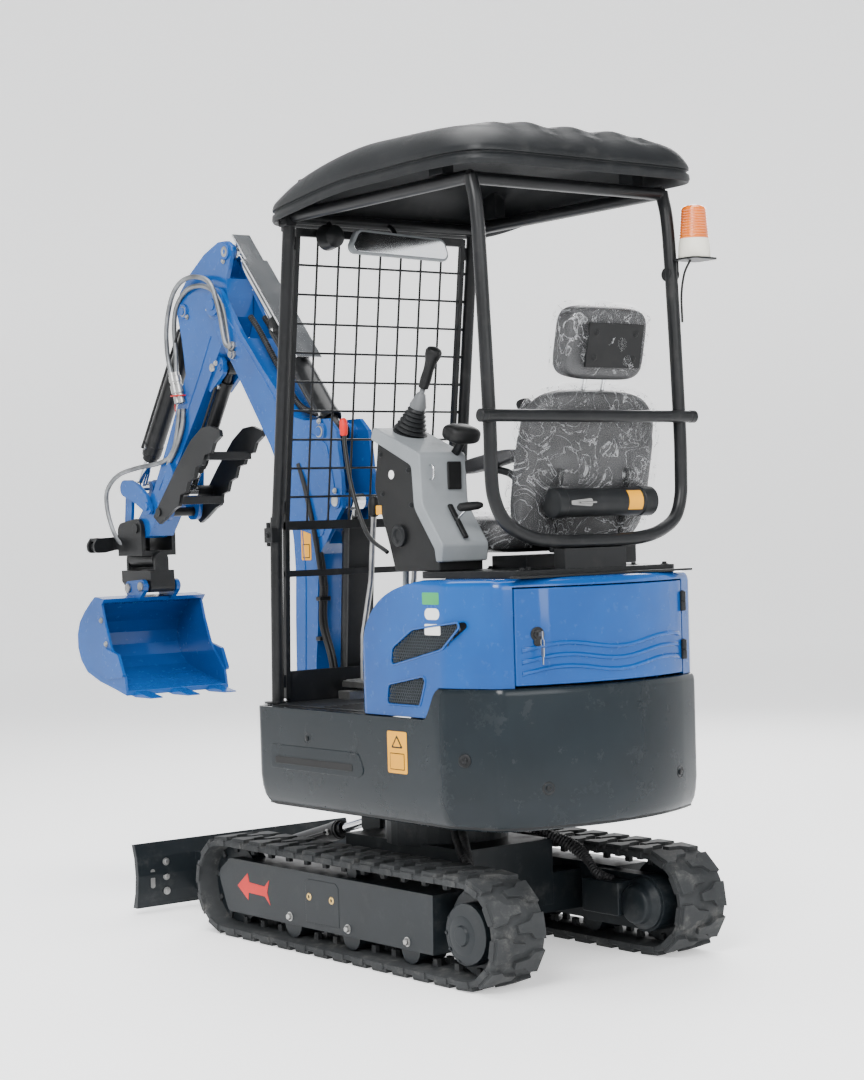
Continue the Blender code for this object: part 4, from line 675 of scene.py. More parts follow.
# %% Finish the solids
FINISH_OF = {"blue_paint": BLUE, "black_paint": BLACK, "frame_paint": CHASSIS, "skirt_paint": SKIRT,
             "rubber": RUBBER, "roof_plastic": MOULDED, "console_plastic": TRIM, "seat_vinyl": VINYL,
             "tube_plastic": MOULDED, "amber": AMBER, "steel": STEEL, "cast_iron": IRON}
for node in NODES:
    solid = bpy.data.objects[node]
    for slot in solid.material_slots:
        given = slot.material.name if slot.material else ""
        paint = next((name for name in FINISH_OF if given.startswith(name)), None)
        if node.endswith("_rod"):
            slot.material = CHROME
        elif paint:
            slot.material = FINISH_OF[paint]
        else:
            print("no finish named for", node, given)
print("finished solids", len(NODES))

# %% [markdown]
# ## Rubber tracks
# Each track is one moulded belt: a carcass with staggered tread blocks outside and guide lugs inside
# that run between the rollers.  The blocks are made once per pitch along the loop, half a pitch apart
# on the two edges, so the shoulder shows the stepped pattern of the real moulding.

# %% Track belts
TRACK_X, AXLE_Z, HALF_BASE, TREAD = 0.35, 0.159, 0.6145, 0.159
CARCASS = TREAD - 0.016
BEND_LENGTH = math.pi * CARCASS
LENGTH = 2 * (2 * HALF_BASE + BEND_LENGTH)
PITCHES, BELT_STEPS = 34, 220


def on_loop(distance, radius):
    """A point (y, z) at a radius from the belt's path, and its way out; distance is along the carcass."""
    distance %= LENGTH
    if distance < 2 * HALF_BASE:
        return (-HALF_BASE + distance, AXLE_Z + radius), (0.0, 1.0)
    distance -= 2 * HALF_BASE
    if distance < BEND_LENGTH:
        turn = math.pi / 2 - distance / CARCASS
        way = (math.cos(turn), math.sin(turn))
        return (HALF_BASE + radius * way[0], AXLE_Z + radius * way[1]), way
    distance -= BEND_LENGTH
    if distance < 2 * HALF_BASE:
        return (HALF_BASE - distance, AXLE_Z - radius), (0.0, -1.0)
    turn = -math.pi / 2 - (distance - 2 * HALF_BASE) / CARCASS
    way = (math.cos(turn), math.sin(turn))
    return (-HALF_BASE + radius * way[0], AXLE_Z + radius * way[1]), way


def add_pad(shape, outline, low, high, flare, first, middle_x):
    """A tread block: outline (along, across) swept from radius low to high, shrinking by flare."""
    centre = Vector((sum(p[0] for p in outline), sum(p[1] for p in outline))) / len(outline)
    rings = []
    for radius, shrink in ((low, 0.0), (high - 0.004, flare * 0.6), (high, flare)):
        ring = []
        for along, across in outline:
            spot = Vector((along, across)) - centre
            spot -= spot.normalized() * shrink
            spot += centre
            (y, z), _ = on_loop(first + spot.x, radius)
            ring.append(shape.verts.new(at(middle_x + spot.y, y, z)))
        rings.append(ring)
    bridge(shape, rings)
    shape.faces.new(rings[-1])
    shape.faces.new(rings[0][::-1])


def track(name, sign):
    shape = bmesh.new()
    section = [(-0.09, 0.0), (-0.084, 0.004), (0.084, 0.004), (0.09, 0.0), (0.09, -0.012),
               (0.082, -0.016), (0.04, -0.016), (0.034, -0.02), (-0.034, -0.02), (-0.04, -0.016),
               (-0.082, -0.016), (-0.09, -0.012)]
    rings = []
    for step in range(BELT_STEPS):
        ring = []
        for across, lift in section:
            (y, z), _ = on_loop(LENGTH * step / BELT_STEPS, CARCASS + lift)
            ring.append(shape.verts.new(at(sign * TRACK_X + across, y, z)))
        rings.append(ring)
    bridge(shape, rings + rings[:1])
    pitch = LENGTH / PITCHES
    for index in range(PITCHES):
        first = pitch * index
        wide = pitch * 0.36
        for flip, shift in ((1, 0.0), (-1, 0.5)):
            start = first + shift * pitch
            block = [(-wide, flip * 0.088), (wide, flip * 0.088), (wide * 0.95, flip * 0.05),
                     (wide * 0.45, flip * 0.03), (wide * 0.3, flip * -0.012),
                     (-wide * 0.3, flip * -0.016),
                     (-wide * 0.55, flip * 0.03), (-wide * 1.02, flip * 0.052)]
            add_pad(shape, block if flip > 0 else block[::-1], CARCASS - 0.006, TREAD - 0.0005, 0.0035,
                    start, sign * TRACK_X)
            shoulder = [(-wide * 0.8, flip * 0.094), (wide * 0.8, flip * 0.094),
                        (wide * 0.8, flip * 0.08),
                        (-wide * 0.8, flip * 0.08)]
            add_pad(shape, shoulder, CARCASS - 0.013, CARCASS + 0.005, 0.002, start, sign * TRACK_X)
        for across in (-0.024, 0.024):
            lug = [(-0.011, across - 0.008), (0.011, across - 0.008), (0.011, across + 0.008),
                   (-0.011, across + 0.008)]
            add_pad(shape, lug, CARCASS - 0.012, CARCASS - 0.038, 0.003, first, sign * TRACK_X)
    return finish_piece(name, shape, RUBBER, "undercarriage")


for side_name, sign in (("left", 1), ("right", -1)):
    belt = track(f"tread_{side_name}", sign)
    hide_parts(f"rubber_track_{side_name}")
    print("track", side_name, len(belt.data.polygons), "faces")

# %% [markdown]
# ## Track frames
# Bolted to each frame are the roller axles' caps, the brass tensioner plugs, a hub cover with its ring
# of rim bolts and the inner motor cover.  A plain red arrow, laid on as a thin decal, points to the
# end with the idler.

# %% Frame fittings
for side_name, sign in (("left", 1), ("right", -1)):
    face = sign * 0.4115
    shape = bmesh.new()
    for y in (-0.268, 0.037, 0.329):
        add_bolt(shape, (face, y, 0.099), (sign, 0, 0), 0.01, 0.009)
    finish_piece(f"roller_bolts_{side_name}", shape, STEEL, "undercarriage")
    shape = bmesh.new()
    for y, z in ((-0.16, 0.173), (-0.042, 0.174)):
        add_turned(shape, (face - sign * 0.002, y, z), (face + sign, y, z),
                   [(0, 0.012), (0.004, 0.012), (0.006, 0.01), (0.006, 0.006), (0.003, 0.005),
                    (0.003, 0)], 24)
    finish_piece(f"tension_plugs_{side_name}", shape, BRASS, "undercarriage")
    hub = (face - sign * 0.03, HALF_BASE - 0.02, AXLE_Z - 0.008)
    shape = bmesh.new()
    add_turned(shape, hub, (face + sign, hub[1], hub[2]),
               [(0, 0.088), (0.026, 0.088), (0.03, 0.084), (0.031, 0.066), (0.037, 0.062), (0.04, 0.05),
                (0.04, 0.03), (0.046, 0.026), (0.047, 0.0)], 48)
    for step in range(10):
        turn = math.tau * step / 10
        add_bolt(shape, (face + sign * 0.001, hub[1] + 0.075 * math.cos(turn),
                         hub[2] + 0.075 * math.sin(turn)),
                 (sign, 0, 0), 0.0055, 0.005)
    finish_piece(f"hub_cover_{side_name}", shape, CHASSIS, "undercarriage")
    shape = bmesh.new()
    inner = sign * (TRACK_X - 0.0925)
    add_turned(shape, (inner + sign * 0.02, HALF_BASE, AXLE_Z), (inner - sign, HALF_BASE, AXLE_Z),
               [(0, 0.08), (0.035, 0.078), (0.05, 0.06), (0.07, 0.056), (0.075, 0.048), (0.075, 0.0)], 40)
    add_box(shape, (inner - sign * 0.03, HALF_BASE - 0.13, 0.17), (0.07, 0.16, 0.1))
    finish_piece(f"motor_cover_{side_name}", shape, CHASSIS, "undercarriage", 0.004)
    arrow = [(-0.56, 0.163), (-0.5, 0.208), (-0.492, 0.18), (-0.405, 0.176), (-0.378, 0.199),
             (-0.392, 0.158), (-0.375, 0.12), (-0.405, 0.145), (-0.497, 0.147), (-0.5, 0.123)]
    slab(f"travel_arrow_{side_name}", arrow, "side", face + sign * 0.0002, face + sign * 0.0016, RED,
         "undercarriage", 0.0)
    ridge = [(-0.18, 0.094), (-0.18, 0.215), (-0.165, 0.228), (-0.02, 0.228), (-0.005, 0.215),
             (-0.005, 0.094)]
    slab(f"tension_cover_{side_name}", ridge, "side", face - sign * 0.006, face + sign * 0.0022, CHASSIS,
         "undercarriage", 0.002)
print("track frames fitted")

# %% [markdown]
# ## Hoses under the turntable
# Travel hoses come down through the ring in corrugated guards and curl back to each track motor.

# %% Travel hoses
for side_name, sign in (("left", 1), ("right", -1)):
    for index, (low, out) in enumerate(((0.235, 0.015), (0.27, -0.02))):
        tube(f"travel_hose_{side_name}_{index}",
             [(sign * (0.075 + index * 0.02), 0.16, 0.385), (sign * 0.15, 0.26 + out, 0.355),
              (sign * 0.215, 0.38 + out, low + 0.04), (sign * 0.21, 0.47 + out, low - 0.03),
              (sign * 0.225, 0.53 + out, low - 0.05)], 0.012, HOSE, "undercarriage", 14, 12,
              (0.01, 0.0022))
print("travel hoses run")

# %% [markdown]
# ## Skirt, hood and engine door
# The steel covers share one plan: straight sides, wide rear corners and a tail struck from the
# slewing axis.  The skirt is one pressed ring with a tucked-in lower edge and a rounded shoulder, so
# it is lofted from insets of that plan.  The hood's panels are carved from the same plan with the
# side profile, a hollow, the vents and the door seams, then their edges are rounded.


# %% Plan and carving
HALF_WIDTH, SKIRT_FRONT, TAIL = 0.44, -0.392, 0.82


def plan_path(inset, front, tail):
    half = HALF_WIDTH - inset
    corner = [(half, front, 0.045), (half, 0.56, 0.11), (*arc((0, 0), tail, 63, 117, 8)[0], 0.06)]
    mirrored = [(-a, b, radius) for a, b, radius in reversed(corner)]
    curve = [(a, b, 0) for a, b in arc((0, 0), tail, 69.75, 110.25, 36)]
    return rounded(corner + curve + mirrored, 14)


def soft_prism(shape, inset, front, tail, levels):
    """A solid over the plan with its own inset at each level (z, inset)."""
    rings = [[shape.verts.new(at(x, y, z)) for x, y in plan_path(inset + more, front + more, tail - more)]
             for z, more in levels]
    bridge(shape, rings)
    cap_ends(shape, rings)


def prism(outline, plane, start, end):
    shape = bmesh.new()
    add_slab(shape, outline, plane, start, end)
    return shape


def box_shape(low, high):
    shape = bmesh.new()
    add_box(shape, [(a + b) / 2 for a, b in zip(low, high)], [b - a for a, b in zip(low, high)])
    return shape


def carve(base, *steps):
    """Cuts base in steps of ("DIFFERENCE" or "INTERSECT", shape)."""
    def as_object(shape, name):
        mesh = bpy.data.meshes.new(name)
        bmesh.ops.recalc_face_normals(shape, faces=shape.faces)
        shape.to_mesh(mesh)
        shape.free()
        made = bpy.data.objects.new(name, mesh)
        bpy.context.scene.collection.objects.link(made)
        return made
    work = as_object(base, "carving")
    tools = []
    for operation, shape in steps:
        tool = as_object(shape, "carving_tool")
        tools.append(tool)
        step = work.modifiers.new("carve", "BOOLEAN")
        step.operation = operation
        step.solver = "MANIFOLD"
        step.object = tool
    bpy.context.view_layer.update()
    carved = work.evaluated_get(bpy.context.evaluated_depsgraph_get())
    result = bmesh.new()
    result.from_mesh(carved.to_mesh())
    for made in [work] + tools:
        bpy.data.objects.remove(made)
    return result


def rising_step(y, z, run, rise, numbers):
    """The eased step that the covers share: z climbs by rise over run."""
    return [(y + run * t, z + rise * t * t * (3 - 2 * t)) for t in (n / 12 for n in numbers)]


print("plan has", len(plan_path(0, SKIRT_FRONT, TAIL)), "points")

# %% [markdown]
# The skirt is hollowed from a second, smaller plan, its rear is cut down in one eased step under the
# engine door, and its front is opened for the swing post.

# %% Skirt
skirt = bmesh.new()
soft_prism(skirt, 0, SKIRT_FRONT, TAIL,
           [(0.44, 0.034), (0.444, 0.026), (0.456, 0.016), (0.474, 0.008), (0.5, 0.003), (0.535, 0.0),
            (0.818, 0.0), (0.828, 0.002), (0.835, 0.006), (0.838, 0.014)])
skirt_hollow = bmesh.new()
soft_prism(skirt_hollow, 0.018, SKIRT_FRONT + 0.018, TAIL - 0.018,
           [(0.4, 0.02), (0.47, 0.006), (0.53, 0.0), (0.9, 0.0)])
step_line = [(-0.6, 0.747), (0.462, 0.747)]
step_line += rising_step(0.47, 0.747, 0.07, 0.091, range(13))
step_line += [(0.56, 0.95), (-0.6, 0.95)]
skirt = carve(skirt, ("DIFFERENCE", skirt_hollow), ("DIFFERENCE", prism(step_line, "side", -0.6, 0.6)),
              ("DIFFERENCE", box_shape((-0.17, -0.45, 0.39), (0.17, -0.33, 0.8))))
skirt_piece = finish_piece("skirt_ring", skirt, SKIRT, "upper", 0.005, 3)
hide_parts("lower_skirt")
print("skirt", len(skirt_piece.data.polygons), "faces")

# %% [markdown]
# Six bolts in countersunk washers hold the skirt.  A raised field with a slot is pressed into each
# side, and a yellow plate with plain shapes takes the place of the real notice.

# %% Skirt details
shape = bmesh.new()
for x, y, z, way in ((0.4385, -0.105, 0.661, (1, 0, 0)), (0.418, 0.625, 0.64, (0.85, 0.5, 0)),
                     (-0.4385, -0.105, 0.661, (-1, 0, 0)), (-0.418, 0.625, 0.64, (-0.85, 0.5, 0)),
                     (0.25, 0.78, 0.56, (0.3, 0.95, 0)), (-0.25, 0.78, 0.56, (-0.3, 0.95, 0))):
    way = Vector(way).normalized()
    spot = Vector((x, y, z))
    add_turned(shape, spot, spot + way, [(-0.004, 0.019), (0.001, 0.019), (0.0022, 0.017), (0.001, 0.014),
                                         (0.0004, 0.009)], 32)
    add_turned(shape, spot, spot + way, [(0, 0.0085), (0.004, 0.0085), (0.005, 0.007)], 6)
finish_piece("skirt_bolts", shape, BLACK, "upper")
for side_name, sign in (("left", 1), ("right", -1)):
    field = rounded([(-0.3, 0.56, 0.012), (-0.3, 0.635, 0.012), (0.155, 0.635, 0.02), (0.19, 0.575, 0.02),
                     (0.15, 0.56, 0.01)])
    slab(f"skirt_panel_{side_name}", field, "side", sign * 0.43, sign * 0.4428, SKIRT, "upper", 0.0025)
    slab(f"skirt_slot_{side_name}", panel((-0.275, 0.577), (0.13, 0.6), 0.009), "side", sign * 0.435,
         sign * 0.4439, TRIM, "upper", 0.001)
triangle = rounded([(0.318, 0.66, 0.003), (0.346, 0.698, 0.003), (0.374, 0.66, 0.003)], 3)
small_triangle = rounded([(0.328, 0.6645, 0.002), (0.346, 0.689, 0.002), (0.364, 0.6645, 0.002)], 3)
for name, outline, start, end, finish, bevel in (
        ("plate", panel((0.3, 0.588), (0.392, 0.708), 0.006), 0.4396, 0.4408, YELLOW, 0.0004),
        ("mark", triangle, 0.4406, 0.4412, TRIM, 0.0), ("field", small_triangle, 0.441, 0.4416, YELLOW,
                                                        0.0),
        ("frame", panel((0.312, 0.598), (0.38, 0.646), 0.003), 0.4406, 0.4412, TRIM, 0.0),
        ("base", panel((0.3145, 0.6005), (0.3775, 0.6435), 0.002), 0.441, 0.4416, YELLOW, 0.0)):
    slab(f"skirt_warning_{name}", outline, "side", start, end, finish, "upper", bevel)
print("skirt details done")

# %% [markdown]
# The hood's front line sweeps up and back in one curve; the shoulder along the top is rounded before
# anything is cut, so the panels on each side of a seam keep matching surfaces.

# %% Hood panels
front_line = [tuple(point[:2]) for point in smooth_points(
    [(0.155, 0.7505, 0), (0.163, 0.86, 0), (0.18, 0.96, 0), (0.21, 1.025, 0), (0.262, 1.076, 0),
     (0.34, 1.112, 0), (0.45, 1.1375, 0)], 6)]
HOOD_LINE = front_line + [(0.9, 1.1382), (0.9, 0.7505)]
SHOULDER = [(0.7, 0.0), (1.108, 0.0), (1.118, 0.0018), (1.127, 0.006), (1.1335, 0.0125), (1.137, 0.02),
            (1.1381, 0.03)]
UPPER_VENT = [(0.314, 0.893, 0.012), (0.322, 0.945, 0.022), (0.42, 1.0, 0.06), (0.655, 1.026, 0.01),
              (0.552, 0.945, 0.045)]
LOWER_VENT = [(0.291, 0.783, 0.012), (0.299, 0.84, 0.018), (0.482, 0.872, 0.014), (0.447, 0.783, 0.014)]


def hood_shell(low, high):
    shell = bmesh.new()
    soft_prism(shell, 0.01, 0.15, 0.808, SHOULDER)
    hollow = bmesh.new()
    soft_prism(hollow, 0.026, 0.166, 0.792, [(0.6, 0.0), (1.1, 0.0), (1.115, 0.006), (1.122, 0.016)])
    inside = [(y + 0.016, z - 0.016 if z > 0.76 else 0.6) for y, z in front_line] + [(1.0, 1.1222),
                                                                                     (1.0, 0.6)]
    return carve(shell, ("INTERSECT", prism(HOOD_LINE, "side", -0.5, 0.5)),
                 ("DIFFERENCE", carve(hollow, ("INTERSECT", prism(inside, "side", -0.5, 0.5)))),
                 ("INTERSECT", box_shape(low, high)))


STEP = [(0.462, 0.7), (0.462, 0.7507)]
STEP += rising_step(0.468, 0.7507, 0.068, 0.0878, range(1, 13))
STEP += [(0.95, 0.8385), (0.95, 0.7)]
for side_name, low, high in (("left", -0.0003, 0.5), ("right", -0.5, 0.0003)):
    shell = hood_shell((min(low, high), 0.1, 0.7), (max(low, high), 0.9, 1.2))
    cuts = [("DIFFERENCE", prism(STEP, "side", -0.5, 0.5)),
            ("DIFFERENCE", box_shape((-0.304, 0.6, 0.7), (0.325, 0.9, 1.115)))]
    if side_name == "left":
        cuts += [("DIFFERENCE", prism(rounded(vent, 8), "side", 0.3, 0.5)) for vent in (UPPER_VENT,
                                                                                        LOWER_VENT)]
    hood = finish_piece(f"hood_shell_{side_name}", carve(shell, *cuts), BLUE, "upper", 0.0035, 3)
    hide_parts(f"hood_{side_name}")
    print("hood", side_name, len(hood.data.polygons), "faces")
door_shell = hood_shell((-0.3, 0.6, 0.844), (0.321, 0.9, 1.111))
door_piece = finish_piece("engine_door_panel", door_shell, BLUE, "engine_door", 0.004, 3)
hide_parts("engine_door")
HINGE = (-0.302, 0.7545)
door_shape, hood_shape = bmesh.new(), bmesh.new()
for z in (0.91, 1.05):
    add_pin(door_shape, (*HINGE, z), (*HINGE, z + 0.028), 0.009, 20)
    add_pin(hood_shape, (*HINGE, z - 0.028), (*HINGE, z - 0.0005), 0.009, 20)
    add_pin(hood_shape, (*HINGE, z - 0.01), (*HINGE, z + 0.031), 0.004, 16)
finish_piece("door_knuckles", door_shape, BLACK, "engine_door")
finish_piece("hood_knuckles", hood_shape, BLACK, "upper")
print("door", len(door_piece.data.polygons), "faces")

# %% [markdown]
# Three raised waves are pressed into the door.  Each is a flat swelling that follows the tail's
# curve; the lock below the seam has a turned cylinder, a flap and two keys on a ring.

# %% Door waves, lock and keys
DOOR_TAIL, WAVE_STEPS = 0.808, 60
UP = Vector((0, 0, 1))


def tail_point(x, out):
    return Vector((x, math.sqrt(DOOR_TAIL ** 2 - x * x), 0)) * ((DOOR_TAIL + out) / DOOR_TAIL)


for index, base in enumerate((0.945, 0.915, 0.885)):
    shape = bmesh.new()
    rings = []
    for step in range(WAVE_STEPS + 1):
        t = step / WAVE_STEPS
        x = 0.305 - 0.59 * t
        wave = 0.012 * math.sin(math.tau * (t * 1.5 - 0.05)) * (1 - 0.3 * t) + 0.01 * t
        z = base + wave - index * 0.002
        fade = min(1.0, t / 0.05, (1 - t) / 0.05)
        rings.append([shape.verts.new(at(*(tail_point(x, out * (0.3 + 0.7 * fade)) + UP * (z + lift))))
                      for lift, out in ((0.0075, -0.003), (0.0055, 0.0016), (0.002, 0.0062),
                                        (-0.0035, 0.0062),
                                        (-0.0068, 0.0012), (-0.008, -0.003))])
    bridge(shape, rings)
    cap_ends(shape, rings)
    finish_piece(f"door_wave_{index}", shape, BLUE, "engine_door")
lock = tail_point(0.262, 0) + UP * 0.985
out = Vector((lock.x, lock.y, 0)).normalized()
shape = bmesh.new()
add_turned(shape, lock - out * 0.004, lock + out, [(0, 0.02), (0.006, 0.02), (0.008, 0.018),
                                                   (0.008, 0.013),
                                                   (0.013, 0.012), (0.014, 0.008)], 32)
add_turned(shape, lock - UP * 0.022, lock - UP * 0.022 + out,
           [(-0.002, 0.012), (0.006, 0.012), (0.008, 0.01)], 28)
finish_piece("door_lock", shape, BLACK, "engine_door")
shape = bmesh.new()
across = Vector((out.y, -out.x, 0))
facing = Matrix((across, out, UP)).transposed()
ring_middle = lock + out * 0.038 - UP * 0.022
loop = [ring_middle + (out * math.cos(turn) + UP * math.sin(turn)) * 0.012
        for turn in (math.tau * n / 16 for n in range(17))]
add_box(shape, lock + out * 0.022, (0.0022, 0.022, 0.01), facing)
add_box(shape, lock + out * 0.036 - UP * 0.002, (0.0022, 0.01, 0.022), facing)
add_tube(shape, loop, 0.0009, 8, 2)
add_box(shape, ring_middle - UP * 0.026, (0.0022, 0.02, 0.024), facing)
add_box(shape, ring_middle - UP * 0.048, (0.002, 0.008, 0.024), facing)
finish_piece("door_keys", shape, STEEL, "engine_door", 0.0006)
print("door fitted")

# %% [markdown]
# Behind each vent lies a punched sheet of hexagonal holes.  It is made as real wire so the dark
# inside shows through it; that dark is painted shade, a black sheet set behind the mesh.

# %% Vent mesh
HOLE, WIRE, MESH_X = 0.0058, 0.002, 0.4262


def inside_outline(y, z, outline):
    hit = False
    for index in range(len(outline)):
        (ay, az), (by, bz) = outline[index - 1], outline[index]
        if (az > z) != (bz > z) and y < (by - ay) * (z - az) / (bz - az) + ay:
            hit = not hit
    return hit


def add_wire(shape, start, end, radius):
    start, end = Vector(start), Vector(end)
    along = (end - start).normalized()
    first = Vector((1, 0, 0))
    second = along.cross(first)
    rings = [[shape.verts.new(at(*(middle + (first * a + second * b) * radius))) for a, b in
              ((1, 0), (-0.5, 0.87), (-0.5, -0.87))] for middle in (start, end)]
    for index in range(3):
        other = (index + 1) % 3
        shape.faces.new((rings[0][index], rings[0][other], rings[1][other], rings[1][index]))


for name, corners in (("upper", UPPER_VENT), ("lower", LOWER_VENT)):
    outline = rounded(corners, 8)
    shape = bmesh.new()
    for row in range(-3, 60):
        for column in range(-3, 60):
            y = 0.28 + column * HOLE * math.sqrt(3) + (row % 2) * HOLE * math.sqrt(3) / 2
            z = 0.77 + row * HOLE * 1.5
            if not inside_outline(y, z, outline):
                continue
            corner = [(MESH_X, y + HOLE * math.sin(turn), z + HOLE * math.cos(turn))
                      for turn in (math.tau * n / 6 for n in range(4))]
            for a, b in zip(corner, corner[1:]):
                add_wire(shape, a, b, WIRE)
    finish_piece(f"vent_mesh_{name}", shape, MESH_GREY, "upper", smooth=False)
    # Painted shade: a dark sheet behind the mesh stands for the shadowed inside of the hood.
    middle_y, middle_z = (sum(values) / len(outline) for values in zip(*outline))
    shade_outline = [(middle_y + 1.05 * (y - middle_y), middle_z + 1.05 * (z - middle_z)) for y, z in outline]
    slab(f"vent_backing_{name}", shade_outline, "side", 0.395, 0.398, MOULDED, "upper", 0.0)
    shape = bmesh.new()
    add_tube(shape, [(0.4305, y, z) for y, z in outline] + [(0.4305, *outline[0])], 0.0032, 8, 1, None,
             False)
    finish_piece(f"vent_rim_{name}", shape, BLUE, "upper")
print("vents meshed")

# %% [markdown]
# Three small plates sit on the hood above the vents.  They carry no words or signs.

# %% Blank plates on the hood
for name, low, high, radius, finish in (("green", (0.47, 1.07), (0.545, 1.104), 0.004, GREEN),
                                        ("oval", (0.48, 1.028), (0.545, 1.06), 0.0155, WHITE),
                                        ("white", (0.478, 0.985), (0.548, 1.016), 0.004, WHITE)):
    slab(f"hood_plate_{name}", panel(low, high, radius), "side", 0.4292, 0.4309, finish, "upper", 0.0004)
print("plates on")

# %% [markdown]
# ## Canopy
# Bent tubes carry a moulded roof.  The rear loop is one tube run through points that bend inward at
# the seat's back, and the front posts, rails and cross bars are tubes that run into each other.

# %% Canopy tubes
POST_X, POST = 0.358, 0.019
BAR_Y, BAR_Z = 0.716, 1.585
REAR_POST = [(POST_X, 0.65, 2.242), (POST_X, 0.675, 2.1), (POST_X, 0.7, 1.6), (POST_X, 0.702, 1.42),
             (0.35, 0.706, 1.35), (0.322, 0.712, 1.295), (0.27, 0.716, 1.262), (0.2, 0.718, 1.242),
             (0.1, 0.7185, 1.2345)]
shape = bmesh.new()
add_tube(shape, REAR_POST + [(-x, y, z) for x, y, z in reversed(REAR_POST)], POST, 24, 8)
for sign in (1, -1):
    add_tube(shape, [(sign * 0.362, -0.372, 0.748), (sign * 0.36, -0.352, 1.3),
                     (sign * POST_X, -0.343, 1.345), (sign * POST_X, -0.232, 2.236)], POST, 24, 6)
    add_tube(shape, [(sign * POST_X, -0.234, 2.236), (sign * POST_X, 0.65, 2.24)], POST, 24, 1)
    add_tube(shape, [(sign * 0.362, -0.386, 0.7485), (sign * 0.362, -0.386, 0.754)], 0.034, 24, 1)
add_tube(shape, [(-POST_X, -0.23, 2.234), (POST_X, -0.23, 2.234)], 0.018, 24, 1)
add_tube(shape, [(-POST_X, 0.65, 2.236), (POST_X, 0.65, 2.236)], 0.018, 24, 1)
add_tube(shape, [(-0.402, BAR_Y, BAR_Z), (0.398, BAR_Y, BAR_Z)], 0.0175, 24, 1)
for sign in (1, -1):
    add_turned(shape, (sign * 0.385, BAR_Y, BAR_Z), (sign, BAR_Y, BAR_Z),
               [(0, 0.0185), (0.018, 0.0185), (0.02, 0.016)], 24)
canopy_piece = finish_piece("canopy_tubes", shape, BLACK, "upper")
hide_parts("canopy_frame")
print("canopy tubes", len(canopy_piece.data.polygons), "faces")

# %% [markdown]
# The roof is one crowned skin with a raised middle panel, a bulge above the front and shallow flutes
# at the rear.  It is drawn as rings that run out from the crown over a double lip at the rim and back
# underneath.  Each ring is a superellipse, and its height comes from a few smooth terms.

# %% Roof
ROOF_MIDDLE_Y, ROOF_HALF_X, ROOF_HALF_Y, ROOF_BASE = 0.2325, 0.43, 0.5225, 2.24
RING_STEPS = 160


def ramp(value):
    return max(0.0, min(1.0, value))


def roof_ring(reach, drop):
    ring = []
    for step in range(RING_STEPS):
        turn = math.tau * step / RING_STEPS
        c, s = math.cos(turn), math.sin(turn)
        size = (abs(c) ** 9 + abs(s) ** 9) ** (-1 / 9)
        u, v = c * size * reach, s * size * reach
        top = min(reach, 1.0)
        fall = 1 - top ** (11 + 5 * v) * (0.6 - 0.16 * v)
        raised = ramp((0.7 - abs(u)) / 0.09) * ramp((0.9 - abs(v)) / 0.08)
        raised = raised * raised * (3 - 2 * raised)
        front_bulge = max(0.0, 1 - ((v + 0.62) / 0.22) ** 2) * max(0.0, 1 - (u / 0.62) ** 4)
        flute = 0.006 * math.cos(u * 17) * ramp((v - 0.2) / 0.45) * ramp((0.8 - abs(u)) / 0.2)
        hollow = 0.25 if v < 0 else 0.06
        wave = math.pi * v * (1.0 if v < 0 else 0.45)
        z = ROOF_BASE + 0.15 * fall * (1 - hollow * v * v) + 0.016 * math.cos(wave) - 0.018 * min(v, 0.2)
        z += 0.013 * raised + 0.012 * front_bulge + flute * (1 - top ** 8) - drop
        ring.append(at(u * ROOF_HALF_X, ROOF_MIDDLE_Y + v * ROOF_HALF_Y, z))
    return ring


rim = [(1.004, 0.004), (1.01, 0.012), (1.01, 0.02), (0.998, 0.024), (0.998, 0.03), (1.012, 0.034),
       (1.014, 0.046), (1.006, 0.056), (0.985, 0.06), (0.965, 0.054), (0.955, 0.036)]
levels = [(0.02, 0)] + [(1 - (1 - n / 30) ** 1.7, 0) for n in range(1, 31)]
levels += rim + [(n / 10, 0.024) for n in (9, 8, 7, 5, 3, 1)]
shape = bmesh.new()
rings = [[shape.verts.new(point) for point in roof_ring(reach, drop)] for reach, drop in levels]
bridge(shape, rings)
cap_ends(shape, rings)
for sign in (1, -1):
    for y, low, height in ((-0.12, 2.2561, 0.08), (0.52, 2.259, 0.1)):
        add_box(shape, (sign * POST_X, y, low + height / 2), (0.04, 0.06, height))
roof_piece = finish_piece("roof_skin", shape, MOULDED, "upper")
roof_piece.data.set_sharp_from_angle(angle=math.radians(60))
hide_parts("canopy_roof")
print("roof", len(roof_piece.data.polygons), "faces")

# %% [markdown]
# The front guard is welded wire in a frame that stands between the front posts: eight columns above
# the thick middle rail, a flat rail below it and an open foot with a kick plate.

# %% Front guard
GUARD = [(-0.242, 2.205), (-0.352, 1.33), (-0.379, 0.76)]


def guard_y(z):
    (ya, za), (yb, zb), (yc, zc) = GUARD
    return yb + (ya - yb) * (z - zb) / (za - zb) if z > zb else yc + (yb - yc) * (z - zc) / (zb - zc)


